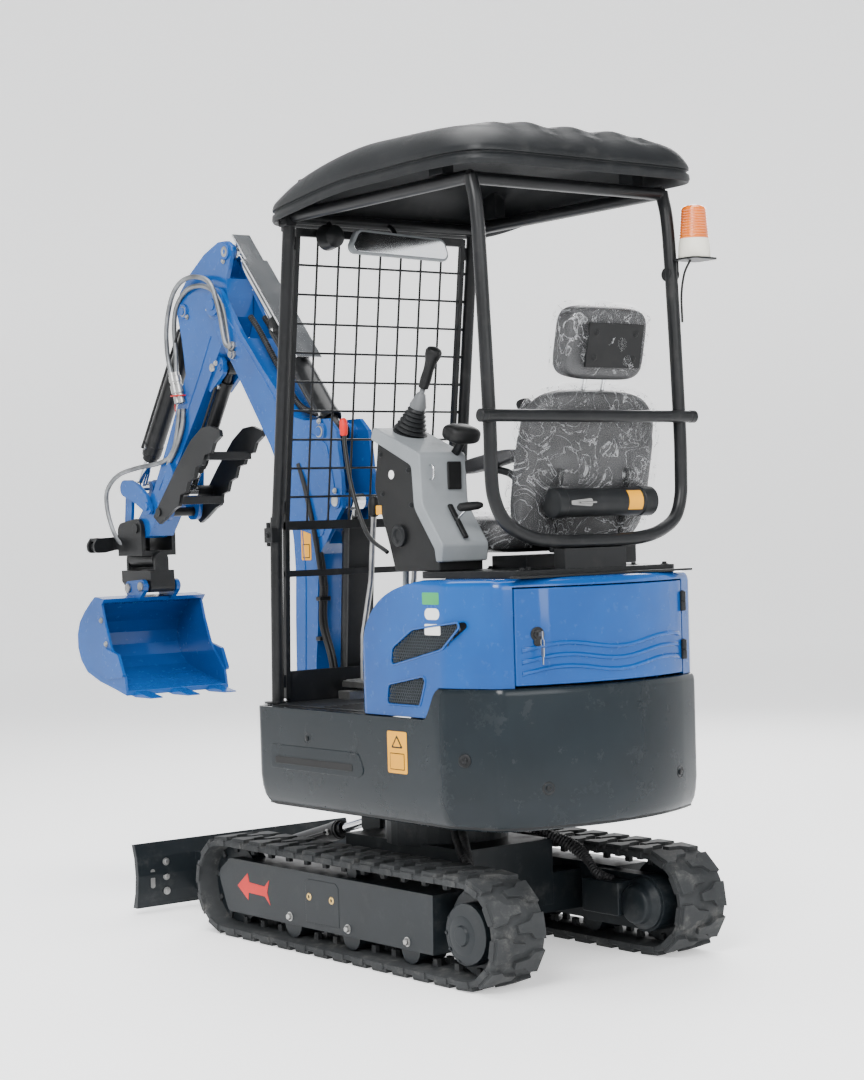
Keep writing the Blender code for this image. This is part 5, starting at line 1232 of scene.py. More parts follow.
shape = bmesh.new()
for x in (-0.322, 0.322):
    outline = [(y - 0.009, z) for y, z in GUARD] + [(y + 0.009, z) for y, z in reversed(GUARD)]
    add_slab(shape, outline, "side", x - 0.008, x + 0.008)
add_slab(shape, [(guard_y(z) + s, z) for z, s in ((2.182, -0.01), (2.182, 0.008), (2.206, 0.008),
                                                  (2.206, -0.01))],
         "side", -0.322, 0.322)
for z, half, thick in ((1.3, 0.014, 0.01), (1.15, 0.01, 0.005)):
    y = guard_y(z)
    add_slab(shape, [(y - thick, z - half), (y + thick, z - half), (y + thick, z + half),
                     (y - thick, z + half)],
             "side", -0.33, 0.33)
add_slab(shape, [(-0.387, 0.7475), (-0.387, 0.845), (-0.379, 0.845), (-0.379, 0.7475)], "side", -0.322,
         0.322)
for z in (2.16, 1.355, 0.815):
    for sign in (1, -1):
        add_box(shape, (sign * 0.34, guard_y(z), z), (0.03, 0.012, 0.04))
guard_piece = finish_piece("guard_frame", shape, BLACK, "upper", 0.0015)
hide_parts("front_guard")
shape = bmesh.new()
for index in range(1, 8):
    x = -0.322 + 0.0805 * index
    add_tube(shape, [(x, guard_y(z) - 0.003, z) for z in (2.19, 1.33, 1.3)], 0.0036, 8, 1)
for index in range(1, 10):
    z = 1.3 + 0.0885 * index
    add_tube(shape, [(-0.326, guard_y(z) + 0.003, z), (0.326, guard_y(z) + 0.003, z)], 0.0036, 8, 1)
    add_turned(shape, (-0.322, guard_y(z) + 0.003, z), (-1, guard_y(z) + 0.003, z),
               [(0.004, 0.005), (0.016, 0.005), (0.017, 0.003)], 10)
finish_piece("guard_wires", shape, BLACK, "upper")
shape = bmesh.new()
for z in (2.239, 1.282):
    y = -0.222 if z > 2 else -0.357
    for sign in (1, -1):
        add_box(shape, (sign * 0.372, y, z - 0.01), (0.034, 0.044, 0.046))
        add_bolt(shape, (sign * 0.388, y, z - 0.01), (sign, 0, 0), 0.008, 0.007)
        add_pin(shape, (sign * 0.366, y - 0.028, z - 0.045), (sign * 0.366, y - 0.028, z + 0.03), 0.009,
                16)
finish_piece("guard_brackets", shape, BLACK, "upper", 0.003)
print("guard done")

# %% [markdown]
# The beacon is a ribbed amber dome on a cream base, bolted to a bent shelf on the right rear post.

# %% Beacon
BEACON_FOOT, BEACON_AXIS = (-0.402, 0.735, 2.0435), (-0.402, 0.735, 3)
turned("beacon_base", BEACON_FOOT, BEACON_AXIS,
       [(0, 0.046), (0.004, 0.0475), (0.04, 0.0455), (0.052, 0.043), (0.056, 0.043)], 40, CREAM, "upper")
profile = [(0.056, 0.043)]
for n in range(11):
    profile += [(0.06 + n * 0.0078, 0.044 - n * 0.0006), (0.064 + n * 0.0078, 0.0418 - n * 0.0006)]
profile += [(0.146, 0.034), (0.151, 0.026), (0.154, 0.012), (0.1545, 0.0)]
beacon_piece = turned("beacon_lens", BEACON_FOOT, BEACON_AXIS, profile, 40, AMBER, "upper")
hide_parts("beacon")
shape = bmesh.new()
add_slab(shape, panel((-0.452, 0.69), (-0.35, 0.785), 0.015), "plan", 2.0375, 2.043)
add_slab(shape, [(0.69, 2.039), (0.69, 1.995), (0.675, 1.96), (0.665, 1.96), (0.665, 2.039)], "side",
         -0.382, -0.376)
add_pin(shape, (-0.378, 0.677, 2.0), (-0.34, 0.677, 2.0), 0.02, 24)
finish_piece("beacon_shelf", shape, BLACK, "upper", 0.001)
tube("beacon_wire", [(-0.385, 0.735, 2.038), (-0.378, 0.716, 2.0), (-0.38, 0.7, 1.94),
                     (-0.379, 0.702, 1.86)], 0.0035, HOSE, "upper", 10)
print("beacon up")

# %% [markdown]
# Under the roof's front edge hang a wide mirror in a silver shell and a small work lamp.

# %% Mirror and lamp
shape = bmesh.new()
outline = rounded([(-0.215, 2.12, 0.022), (-0.19, 2.192, 0.03), (0.15, 2.206, 0.03), (0.19, 2.13, 0.022)],
                  8)
add_slab(shape, outline, "front", -0.19, -0.165)
finish_piece("mirror_shell", shape, SILVER, "upper", 0.007, 3)
inner = rounded([(-0.203, 2.128, 0.016), (-0.182, 2.184, 0.022), (0.143, 2.197, 0.022),
                 (0.178, 2.138, 0.016)], 8)
slab("mirror_glass", inner, "front", -0.1655, -0.163, GLASS, "upper", 0.0004)
tube("mirror_arm", [(-0.01, -0.185, 2.195), (-0.01, -0.2, 2.215), (-0.01, -0.226, 2.232)], 0.008, BLACK,
     "upper", 12, 4)
shape = bmesh.new()
add_turned(shape, (0.235, -0.155, 2.178), (0.235, -1, 2.178),
           [(0, 0.02), (0.01, 0.034), (0.05, 0.04), (0.056, 0.04), (0.056, 0.035), (0.05, 0.03), (0.05, 0)], 32)
add_tube(shape, [(0.235, -0.18, 2.19), (0.235, -0.2, 2.222)], 0.008, 12, 1)
finish_piece("work_lamp", shape, BLACK, "upper")
print("mirror and lamp up")

# %% [markdown]
# ## Seat
# The moulded cushions are pillow shapes: a fine cube blown out to a superellipsoid, with shallow sewn
# channels pressed in.  They stand for the plain solids.

# %% Cushions
SEAT_X, BACK_Y, BACK_Z, LEAN = -0.076, 0.59, 1.44, 12


def swollen(point, power):
    """A point of the cube moved onto a rounded block."""
    return point * (abs(point.x) ** power + abs(point.y) ** power + abs(point.z) ** power) ** (-1 / power)


def pillow(name, middle, half, turn, power=4.0, steps=28, finish=VINYL, dents=()):
    """A rounded block with soft faces; half = half sizes, turn = rotation about X in degrees."""
    shape = bmesh.new()
    bmesh.ops.create_cube(shape, size=2.0)
    bmesh.ops.subdivide_edges(shape, edges=shape.edges, cuts=steps, use_grid_fill=True)
    spin = Matrix.Rotation(math.radians(turn), 3, "X")
    for vertex in shape.verts:
        p = swollen(vertex.co, power)
        swell = 1.0
        for axis, value, depth, width in dents:
            swell -= depth * math.exp(-((p[axis] - value) / width) ** 2)
        p = Vector((p.x * half[0], p.y * half[1] * swell, p.z * half[2]))
        vertex.co = at(*middle) + spin @ p
    return finish_piece(name, shape, finish, "upper")


def beside_back(out, up):
    """A point on the back's middle line: out behind it, up along it."""
    turn = math.radians(LEAN)
    return (BACK_Y + out * math.cos(turn) + up * math.sin(turn),
            BACK_Z + up * math.cos(turn) - out * math.sin(turn))


cushion = pillow("seat_pad", (SEAT_X, 0.3075, 1.2575), (0.232, 0.175, 0.055), 0,
                 dents=((0, -0.62, 0.05, 0.1), (0, 0.62, 0.05, 0.1)))
back_pad = pillow("back_pad", (SEAT_X, BACK_Y, BACK_Z), (0.245, 0.048, 0.228), -LEAN,
                  dents=((0, -0.6, 0.2, 0.07), (0, 0.6, 0.2, 0.07), (2, 0.45, 0.16, 0.06)))
HEAD = (SEAT_X, *beside_back(0.01, 0.365))
head_pad = pillow("head_pad", HEAD, (0.15, 0.044, 0.103), -LEAN, power=5.0)
for piece, node in ((cushion, "seat_cushion"), (back_pad, "seat_back"), (head_pad, "headrest")):
    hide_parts(node)
print("cushions", [len(piece.data.vertices) for piece in (cushion, back_pad, head_pad)])

# %% [markdown]
# Two chromed posts carry the headrest, which has a bolted plate on its back, and a bent bracket holds
# the seat's back.  All of them lean with it, so their places are given beside the back's middle line.

# %% Seat fittings
spin = Matrix.Rotation(math.radians(-LEAN), 3, "X")
shape = bmesh.new()
for x in (-0.112, -0.04):
    add_tube(shape, [(x, *beside_back(0.0, 0.215)), (x, *beside_back(0.008, 0.29))], 0.006, 14, 1)
finish_piece("headrest_posts", shape, CHROME, "upper")
shape = bmesh.new()
# Three finishes need their own graph.  Vinyl has the small cells of a pressed grain over slow folds, the
# beacon's amber is a ribbed lens with a little light inside it, and the packing film is nearly clear, with a
# painted highlight along the crumples where it folds.
add_box(shape, (SEAT_X, *beside_back(0.072, 0.365)), (0.205, 0.008, 0.125), spin)
for x in (-0.15, -0.002):
    for lift in (-0.035, 0.035):
        add_bolt(shape, (x, *beside_back(0.076, 0.365 + lift)), spin @ Vector((0, 1, 0)), 0.006, 0.004)
finish_piece("headrest_plate", shape, TRIM, "upper", 0.0025)
shape = bmesh.new()
low_y, low_z = beside_back(0.052, -0.17)
for x in (-0.205, 0.053):
    add_tube(shape, [(x, low_y - 0.01, low_z - 0.06), (x, low_y, low_z), (x, *beside_back(0.052, 0.01))],
             0.01, 14, 3)
add_box(shape, (SEAT_X, *beside_back(0.05, -0.1)), (0.33, 0.01, 0.06), spin)
finish_piece("seat_bracket", shape, BLACK, "upper", 0.002)
print("seat fitted")

# %% [markdown]
# A round case for papers is strapped behind the seat: a moulded tube with two wider caps, a steel
# latch and a blank yellow band.

# %% Document tube
tube_y, tube_z = beside_back(0.0925, -0.08)
case = turned("document_case", (0.114, tube_y, tube_z), (-1, tube_y, tube_z),
              [(0, 0.036), (0.004, 0.042), (0.034, 0.043), (0.036, 0.0405), (0.33, 0.0405),
               (0.332, 0.043),
               (0.376, 0.043), (0.38, 0.038)], 44, MOULDED, "upper")
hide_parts("document_tube")
shape = bmesh.new()
add_slab(shape, rounded([(-0.005, tube_z - 0.012, 0.008), (-0.005, tube_z + 0.012, 0.008),
                         (0.075, tube_z + 0.006, 0.005), (0.075, tube_z - 0.006, 0.005)]),
         "front", tube_y + 0.04, tube_y + 0.0455)
add_tube(shape, [(-0.02, tube_y + 0.043, tube_z), (0.01, tube_y + 0.049, tube_z),
                 (0.045, tube_y + 0.049, tube_z)], 0.003, 8, 3)
finish_piece("case_latch", shape, STEEL, "upper", 0.001)
shape = bmesh.new()
turns = [math.radians(-35 + 85 * n / 12) for n in range(13)]
rows = [[shape.verts.new(at(x, tube_y + 0.041 * math.cos(turn), tube_z + 0.041 * math.sin(turn)))
         for turn in turns] for x in (-0.15, -0.205)]
for corners in zip(rows[0], rows[0][1:], rows[1][1:], rows[1]):
    shape.faces.new(corners)
finish_piece("case_plate", shape, YELLOW, "upper")
print("document case on")

# %% [markdown]
# The seat arrives wrapped in clear film.  It is a thin skin blown off each cushion's own shape, with
# folds from a fixed noise, so it stands a few millimetres clear.  The side that faces down is open,
# and its flat size is the square of the same area.


# %% Film
def film(name, middle, half, turn, seed, power, loose, open_below):
    shape = bmesh.new()
    bmesh.ops.create_cube(shape, size=2.0)
    bmesh.ops.subdivide_edges(shape, edges=shape.edges, cuts=46, use_grid_fill=True)
    spin = Matrix.Rotation(math.radians(turn), 3, "X")
    for vertex in shape.verts:
        p = swollen(vertex.co, power)
        way = Vector((p.x / half[0], p.y / half[1], p.z / half[2])).normalized()
        spot = Vector((p.x * half[0], p.y * half[1], p.z * half[2]))
        fold = noise.noise(spot * 13 + Vector((seed, 0, 0)))
        fold += 0.5 * abs(noise.noise(spot * 19 + Vector((0, seed, 0))))
        crease = 1 - abs(noise.noise(spot * 12 + Vector((0, 0, seed)))) * 2.2
        spot += way * (0.006 + loose * max(0.0, 0.35 + fold * 0.9) + 0.006 * max(0.0, crease))
        vertex.co = at(*middle) + spin @ spot
    upright = spin.transposed()
    below = [face for face in shape.faces
             if (upright @ (face.calc_center_median() - at(*middle))).z < open_below]
    bmesh.ops.delete(shape, geom=below, context="FACES")
    area = sum(face.calc_area() for face in shape.faces)
    piece = finish_piece(name, shape, FILM, "upper")
    piece.data.set_sharp_from_angle(angle=math.radians(80))
    print(name, "area", round(area, 3))


film("film_on_cushion", (SEAT_X, 0.3075, 1.2615), (0.238, 0.178, 0.06), 0, 3.1, 4.0, 0.012, -0.045)
film("film_on_back", (SEAT_X, BACK_Y, BACK_Z), (0.25, 0.05, 0.232), -LEAN, 7.7, 4.0, 0.016, -0.2)
film("film_on_head", HEAD, (0.153, 0.046, 0.106), -LEAN, 11.3, 5.0, 0.011, -0.085)

# %% [markdown]
# ## Consoles and controls
# Each console is a black housing capped by a silver moulding along its top and rear.  The joystick
# stands in a six-fold bellows; its grip is one turned shape.  These controls have no joint of their
# own, so they ride with the upper structure.


# %% Joystick
def joystick(name, base, top):
    base, top = Vector(base), Vector(top)
    length = (top - base).length
    profile = [(0, 0.052), (0.006, 0.052)]
    for n in range(6):
        radius = 0.049 - 0.0042 * n
        profile += [(0.008 + n * 0.0125, radius * 0.86), (0.0135 + n * 0.0125, radius)]
    profile += [(0.086, 0.02)]
    turned(f"{name}_bellows", base, top, profile, 36, MOULDED, "upper")
    turned(f"{name}_cone", base, top, [(0.084, 0.024), (0.092, 0.025), (0.128, 0.013), (0.132, 0.008),
                                       (length - 0.115, 0.008)], 28, STICK_GREY, "upper")
    grip = [(0, 0.008), (0.004, 0.015), (0.03, 0.0165), (0.06, 0.015), (0.085, 0.0175), (0.105, 0.0235),
            (0.118, 0.0245), (0.126, 0.02), (0.13, 0.01), (0.131, 0.0)]
    turned(f"{name}_grip", base, top, [(length - 0.125 + along, radius) for along, radius in grip], 32,
           TRIM, "upper")


print("joystick maker ready")

# %% [markdown]
# The left console holds the joystick, a hand rest, a slot with a bent lever and a turned knob, a
# round plate and a small yellow one, both blank.  The silver cap is a ribbon, a little wider than
# the housing that it covers.

# %% Left console
HOUSING = rounded([(0.215, 1.159, 0.004), (0.19, 1.235, 0.03), (0.125, 1.4, 0.05), (0.15, 1.556, 0.015),
                   (0.332, 1.482, 0.02), (0.336, 1.35, 0.04), (0.425, 1.232, 0.02),
                   (0.425, 1.159, 0.004)], 8)
left_body = slab("left_housing", HOUSING, "side", 0.17, 0.33, TRIM, "upper", 0.006)
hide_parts("console_left")
cap_line = [(0.118, 1.545, 0.008), (0.132, 1.583, 0.012), (0.352, 1.496, 0.022), (0.358, 1.352, 0.06),
            (0.448, 1.235, 0.02), (0.44, 1.185, 0.006), (0.415, 1.185, 0.006), (0.408, 1.222, 0.02),
            (0.318, 1.34, 0.06), (0.31, 1.462, 0.02), (0.15, 1.532, 0.008)]
slab("left_cap", rounded(cap_line, 8), "side", 0.164, 0.336, SILVER, "upper", 0.007)
shape = bmesh.new()
add_box(shape, (0.25, 0.4145, 1.3), (0.016, 0.01, 0.12), Matrix.Rotation(math.radians(37), 3, "X"))
add_box(shape, (0.215, 0.3595, 1.432), (0.05, 0.006, 0.08))
finish_piece("left_slot", shape, TRIM, "upper", 0.004)
shape = bmesh.new()
add_tube(shape, [(0.25, 0.395, 1.29), (0.246, 0.425, 1.318), (0.236, 0.452, 1.34)], 0.0042, 12, 4)
add_tube(shape, [(0.306, 0.362, 1.462), (0.306, 0.378, 1.458), (0.306, 0.378, 1.425),
                 (0.306, 0.362, 1.421)], 0.0028, 10, 3)
finish_piece("slot_lever", shape, CHROME, "upper")
turned("slot_lever_knob", (0.27, 0.44, 1.338), (0.19, 0.466, 1.345),
       [(0, 0.006), (0.006, 0.012), (0.03, 0.0135), (0.062, 0.012), (0.076, 0.007), (0.079, 0.0)], 24,
       TRIM, "upper")
tube("hand_rest_stem", [(0.195, 0.318, 1.478), (0.195, 0.35, 1.505), (0.195, 0.372, 1.53)], 0.013,
     MOULDED,
     "upper", 16, 4)
pillow("hand_rest", (0.205, 0.385, 1.55), (0.055, 0.042, 0.026), -18, power=3.0, steps=14, finish=TRIM)
joystick("left_stick", (0.24, 0.186, 1.56), (0.24, 0.316, 1.797))
shape = bmesh.new()
add_turned(shape, (0.329, 0.245, 1.262), (1, 0.245, 1.262), [(0, 0.032), (0.01, 0.032), (0.013, 0.028),
                                                             (0.013, 0.02), (0.008, 0.017), (0.008, 0)],
                                                             36)
for y, z in ((0.16, 1.5), (0.29, 1.45), (0.165, 1.385), (0.3, 1.35)):
    add_bolt(shape, (0.3295, y, z), (1, 0, 0), 0.0055, 0.004)
finish_piece("left_fittings", shape, MOULDED, "upper")
turned("left_round_plate", (0.33, 0.21, 1.44), (1, 0.21, 1.44),
       [(0, 0.013), (0.0008, 0.013), (0.0012, 0.011)], 32, WHITE, "upper")
slab("left_small_plate", panel((0.13, 1.325), (0.158, 1.352), 0.003), "side", 0.3298, 0.3306, YELLOW,
     "upper", 0.0)
print("left console built")

# %% [markdown]
# The right console is a lower copy with a shorter cap and its own joystick.

# %% Right console
low_line = rounded([(0.215, 1.159, 0.004), (0.19, 1.235, 0.03), (0.012, 1.3, 0.03), (0.04, 1.458, 0.02),
                    (0.225, 1.39, 0.02),
                    (0.262, 1.3, 0.04), (0.435, 1.235, 0.02), (0.435, 1.159, 0.004)], 8)
right_body = slab("right_housing", low_line, "side", -0.423, -0.32, TRIM, "upper", 0.006)
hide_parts("console_right")
slab("right_cap", rounded([(0.024, 1.44, 0.006), (0.034, 1.478, 0.01), (0.238, 1.402, 0.02),
                           (0.232, 1.372, 0.012), (0.05, 1.436, 0.01)], 8),
     "side", -0.427, -0.316, SILVER, "upper", 0.005)
joystick("right_stick", (-0.345, 0.085, 1.452), (-0.33, 0.03, 1.672))
print("right console built")

# %% [markdown]
# The safety lever is a bent black rod with a red knob; a gas strut holds the console up.  The armrest
# is a padded bar beside the seat.

# %% Levers and armrest
tube("safety_rod", [(0.345, 0.2, 1.215), (0.35, 0.11, 1.27), (0.352, 0.045, 1.4), (0.348, 0.01, 1.52),
                    (0.344, 0.0, 1.575)], 0.0065, BLACK, "upper", 14, 8)
turned("safety_knob", (0.345, 0.001, 1.562), (0.3435, -0.003, 1.64),
       [(0, 0.007), (0.004, 0.011), (0.026, 0.0125), (0.046, 0.0115), (0.053, 0.006), (0.054, 0)], 24,
       RED, "upper")
tube("strut_tube", [(0.262, 0.18, 1.245), (0.262, 0.165, 0.88)], 0.0095, SILVER, "upper", 18, 1)
shape = bmesh.new()
add_tube(shape, [(0.262, 0.165, 0.9), (0.262, 0.158, 0.752)], 0.0045, 14, 1)
add_pin(shape, (0.25, 0.158, 0.762), (0.275, 0.158, 0.762), 0.008, 16)
finish_piece("strut_rod", shape, CHROME, "upper")
pillow("arm_pad", (0.14, 0.425, 1.468), (0.03, 0.125, 0.021), 8, steps=16)
tube("arm_bar", [(0.14, 0.43, 1.45), (0.145, 0.53, 1.43), (0.15, 0.575, 1.395)], 0.011, BLACK, "upper",
     16, 5)
print("levers on")

# %% [markdown]
# On the floor lie two ribbed foot plates below the travel levers' knobs and a rubber mat with ribs
# across it, and bolts hold the deck down under the seat.

# %% Floor and deck
for index, x in enumerate((0.085, -0.085)):
    shape = bmesh.new()
    add_slab(shape, panel((x - 0.047, -0.352), (x + 0.047, -0.213), 0.012), "plan", 0.8003, 0.8045)
    for n in range(6):
        add_box(shape, (x, -0.335 + n * 0.021, 0.8062), (0.076, 0.006, 0.004))
    finish_piece(f"foot_plate_{index}", shape, STEEL, "upper", 0.001)
    turned(f"travel_knob_{index}", (x, -0.215, 1.32), (x, -0.213, 1.4),
           [(0, 0.01), (0.006, 0.0165), (0.035, 0.0185), (0.056, 0.0155), (0.064, 0.008), (0.065, 0.0)],
           24,
           TRIM, "upper")
mat = rounded([(-0.392, -0.355, 0.05), (-0.392, 0.14, 0.01), (0.392, 0.14, 0.01), (0.392, -0.355, 0.05)])
slab("floor_mat", mat, "plan", 0.7472, 0.7502, MOULDED, "upper", 0.001)
shape = bmesh.new()
for n in range(34):
    add_box(shape, (-0.368 + n * 0.0223, 0.01, 0.7512), (0.006, 0.235, 0.0022))
finish_piece("floor_ribs", shape, MOULDED, "upper")
shape = bmesh.new()
for x, y in ((0.31, 0.375), (-0.29, 0.375), (0.27, 0.715), (-0.27, 0.715), (0.09, 0.36), (-0.2, 0.66),
             (0.2, 0.66)):
    add_bolt(shape, (x, y, 1.1583), (0, 0, 1), 0.008, 0.006)
add_slab(shape, panel((-0.335, 0.735), (0.335, 0.77), 0.01), "plan", 1.1385, 1.145)
finish_piece("deck_bolts", shape, BLACK, "upper", 0.001)
print("floor and deck done")

# %% [markdown]
# ## Digging gear
# The plates are already right, so what is added is what a fitter adds: turned sleeves and polished
# rods on the cylinders, pressure lines beside them, caps and keeper bolts on every pin, and hoses.

# %% Cylinders
FOOT_PIN, ARM_PIN, LIFT_EYE = (-0.62, 0.68), (-1.118, 2.064), (-0.435, 1.375)
CROWD_BASE, CROWD_EYE = (-0.511, 1.6), (-1.07, 2.24)
CURL_BASE, GRIP_BASE = (-1.352, 2.062), (-1.14, 1.85)


def fit_cylinder(name, base, eye, barrel, barrel_end, rod_radius, moves, line_side=1):
    """Dresses a cylinder between two pins (y, z); moves names what its barrel and rod bodies begin with."""
    base, eye = Vector((0, *base)), Vector((0, *eye))
    length = (eye - base).length
    way = (eye - base) / length
    across = Vector((line_side, 0, 0))
    turned(f"{name}_sleeve", base, eye,
           [(0.055, barrel * 0.8), (0.06, barrel + 0.0012), (0.078, barrel + 0.0012),
            (0.08, barrel + 0.0006),
            (barrel_end - 0.05, barrel + 0.0006), (barrel_end - 0.048, barrel + 0.0022),
            (barrel_end - 0.012, barrel + 0.0022), (barrel_end - 0.008, barrel * 0.92),
            (barrel_end + 0.0008, barrel * 0.9), (barrel_end + 0.001, rod_radius + 0.001)],
           40, BLACK, f"{moves}_barrel")
    start, end = base + way * 0.075, base + way * (barrel_end - 0.035)
    on, off = across * (barrel + 0.002), across * (barrel + 0.014)
    tube(f"{name}_line", [start + on, start + off + way * 0.006, start + off + way * 0.04,
                          end + off - way * 0.04, end + off - way * 0.006, end + on],
         0.0048, HOSE, f"{moves}_barrel", 12, 5)
    shape = bmesh.new()
    for spot in (start, end):
        place = spot + across * (barrel - 0.002)
        add_turned(shape, place, place + across, [(0, 0.01), (0.01, 0.01), (0.012, 0.008)], 6)
    finish_piece(f"{name}_unions", shape, STEEL, f"{moves}_barrel")
    reach = min(length - 0.14, length - barrel_end + 0.17)
    turned(f"{name}_polish", eye, base, [(0.03, rod_radius + 0.0005), (reach, rod_radius + 0.0005)], 36,
           CHROME,
           f"{moves}_rod")


fit_cylinder("lift", (-0.485, 0.745), LIFT_EYE, 0.036, 0.545, 0.018, "boom", -1)
fit_cylinder("crowd", CROWD_BASE, CROWD_EYE, 0.036, 0.5, 0.018, "arm")
fit_cylinder("curl", CURL_BASE, (-1.778, 1.453), 0.034, 0.6, 0.017, "bucket")
fit_cylinder("grip", GRIP_BASE, (-1.422, 1.433), 0.024, 0.4, 0.012, "thumb")
fit_cylinder("blade", (-1.075, 0.16), (-0.36, 0.352), 0.03, 0.53, 0.015, "blade")
print("cylinders fitted")

# %% [markdown]
# Every pin ends in a turned cap with a keeper bolt beside it, on a boss that is welded to the plate.

# %% Pin caps and keepers
def pin_caps(name, place, half, body, radius, finish=STEEL, turn=90):
    shape = bmesh.new()
    for sign in (1, -1):
        spot = Vector((sign * half, *place))
        way = Vector((sign, 0, 0))
        add_turned(shape, spot, spot + way, [(0, radius), (0.005, radius), (0.0065, radius - 0.002),
                                             (0.0065, radius * 0.45), (0.005, radius * 0.38), (0.005, 0)],
                                             32)
        lug = Vector((0, math.cos(math.radians(turn)), math.sin(math.radians(turn)))) * (radius + 0.014)
        add_bolt(shape, spot + lug + way * 0.001, way, 0.0065, 0.006)
    finish_piece(f"pin_caps_{name}", shape, finish, body)


def bosses(name, place, half, body, radius):
    shape = bmesh.new()
    for sign in (1, -1):
        spot = Vector((sign * (half - 0.001), *place))
        way = Vector((sign, 0, 0))
        add_turned(shape, spot, spot + way, [(0, radius), (0.003, radius), (0.004, radius - 0.0015),
                                             (0.004, 0)], 44)
    finish_piece(f"boss_{name}", shape, BLUE, body)


bosses("foot", FOOT_PIN, 0.07, "boom", 0.036)
bosses("arm_pivot", ARM_PIN, 0.07, "boom", 0.052)
bosses("lift_eye", LIFT_EYE, 0.07, "boom", 0.026)
bosses("crowd_base", CROWD_BASE, 0.07, "boom", 0.03)
bosses("hitch", (-1.7, 1.304), 0.052, "arm", 0.033)
pin_caps("arm_pivot", ARM_PIN, 0.0735, "boom", 0.026, CHROME, 200)
pin_caps("crowd_base", CROWD_BASE, 0.0735, "boom", 0.019)
pin_caps("lift_eye", LIFT_EYE, 0.0735, "boom", 0.018)
pin_caps("crowd_eye", CROWD_EYE, 0.0525, "arm", 0.019, STEEL, 250)
pin_caps("curl_base", CURL_BASE, 0.0525, "arm", 0.019, STEEL, 320)
pin_caps("grip_base", GRIP_BASE, 0.0745, "arm", 0.014, STEEL, 30)
print("pins capped")

# %% [markdown]
# Doubler plates are welded where the boom turns, and a raised seam follows its side.  The blank
# yellow plate sits above the boom's foot.

# %% Boom plates
BOOM_SIDE, ARM_SIDE = 0.0702, 0.0522
BOOM_SEAMS = (((-0.64, 0.8), (-0.628, 1.0), (-0.622, 1.15), (-0.632, 1.29)),
              ((-0.7, 1.64), (-0.84, 1.8), (-0.96, 1.925), (-1.045, 2.01)))
ARM_SEAM = ((-1.18, 1.96), (-1.3, 1.78), (-1.43, 1.61), (-1.56, 1.44))
for end, sign in (("left", 1), ("right", -1)):
    doubler = rounded([(-0.705, 1.3, 0.03), (-0.7, 1.5, 0.05), (-0.585, 1.605, 0.03),
                       (-0.478, 1.56, 0.03), (-0.44, 1.42, 0.03), (-0.52, 1.255, 0.03)], 8)
    low, high = sorted((sign * 0.069, sign * 0.0728))
    slab(f"boom_doubler_{end}", [(a * 0.985 - 0.008, b) for a, b in doubler], "side", low, high, BLUE,
         "boom", 0.001)
    shape = bmesh.new()
    for seam in BOOM_SEAMS:
        add_tube(shape, [(sign * BOOM_SIDE, y, z) for y, z in seam], 0.0028, 8, 6)
    finish_piece(f"boom_seams_{end}", shape, BLUE, "boom")
    tube(f"arm_seams_{end}", [(sign * ARM_SIDE, y, z) for y, z in ARM_SEAM], 0.0025, BLUE, "arm", 8, 6)
slab("boom_plate", panel((-0.64, 1.185), (-0.585, 1.3), 0.005), "side", 0.0702, 0.0712, YELLOW, "boom",
     0.0003)
slab("boom_plate_mark", panel((-0.633, 1.192), (-0.592, 1.238), 0.003), "side", 0.071, 0.0716, TRIM,
     "boom", 0.0)
slab("boom_plate_field", panel((-0.63, 1.195), (-0.595, 1.235), 0.003), "side", 0.0714, 0.072, YELLOW,
     "boom", 0.0)
print("boom dressed")
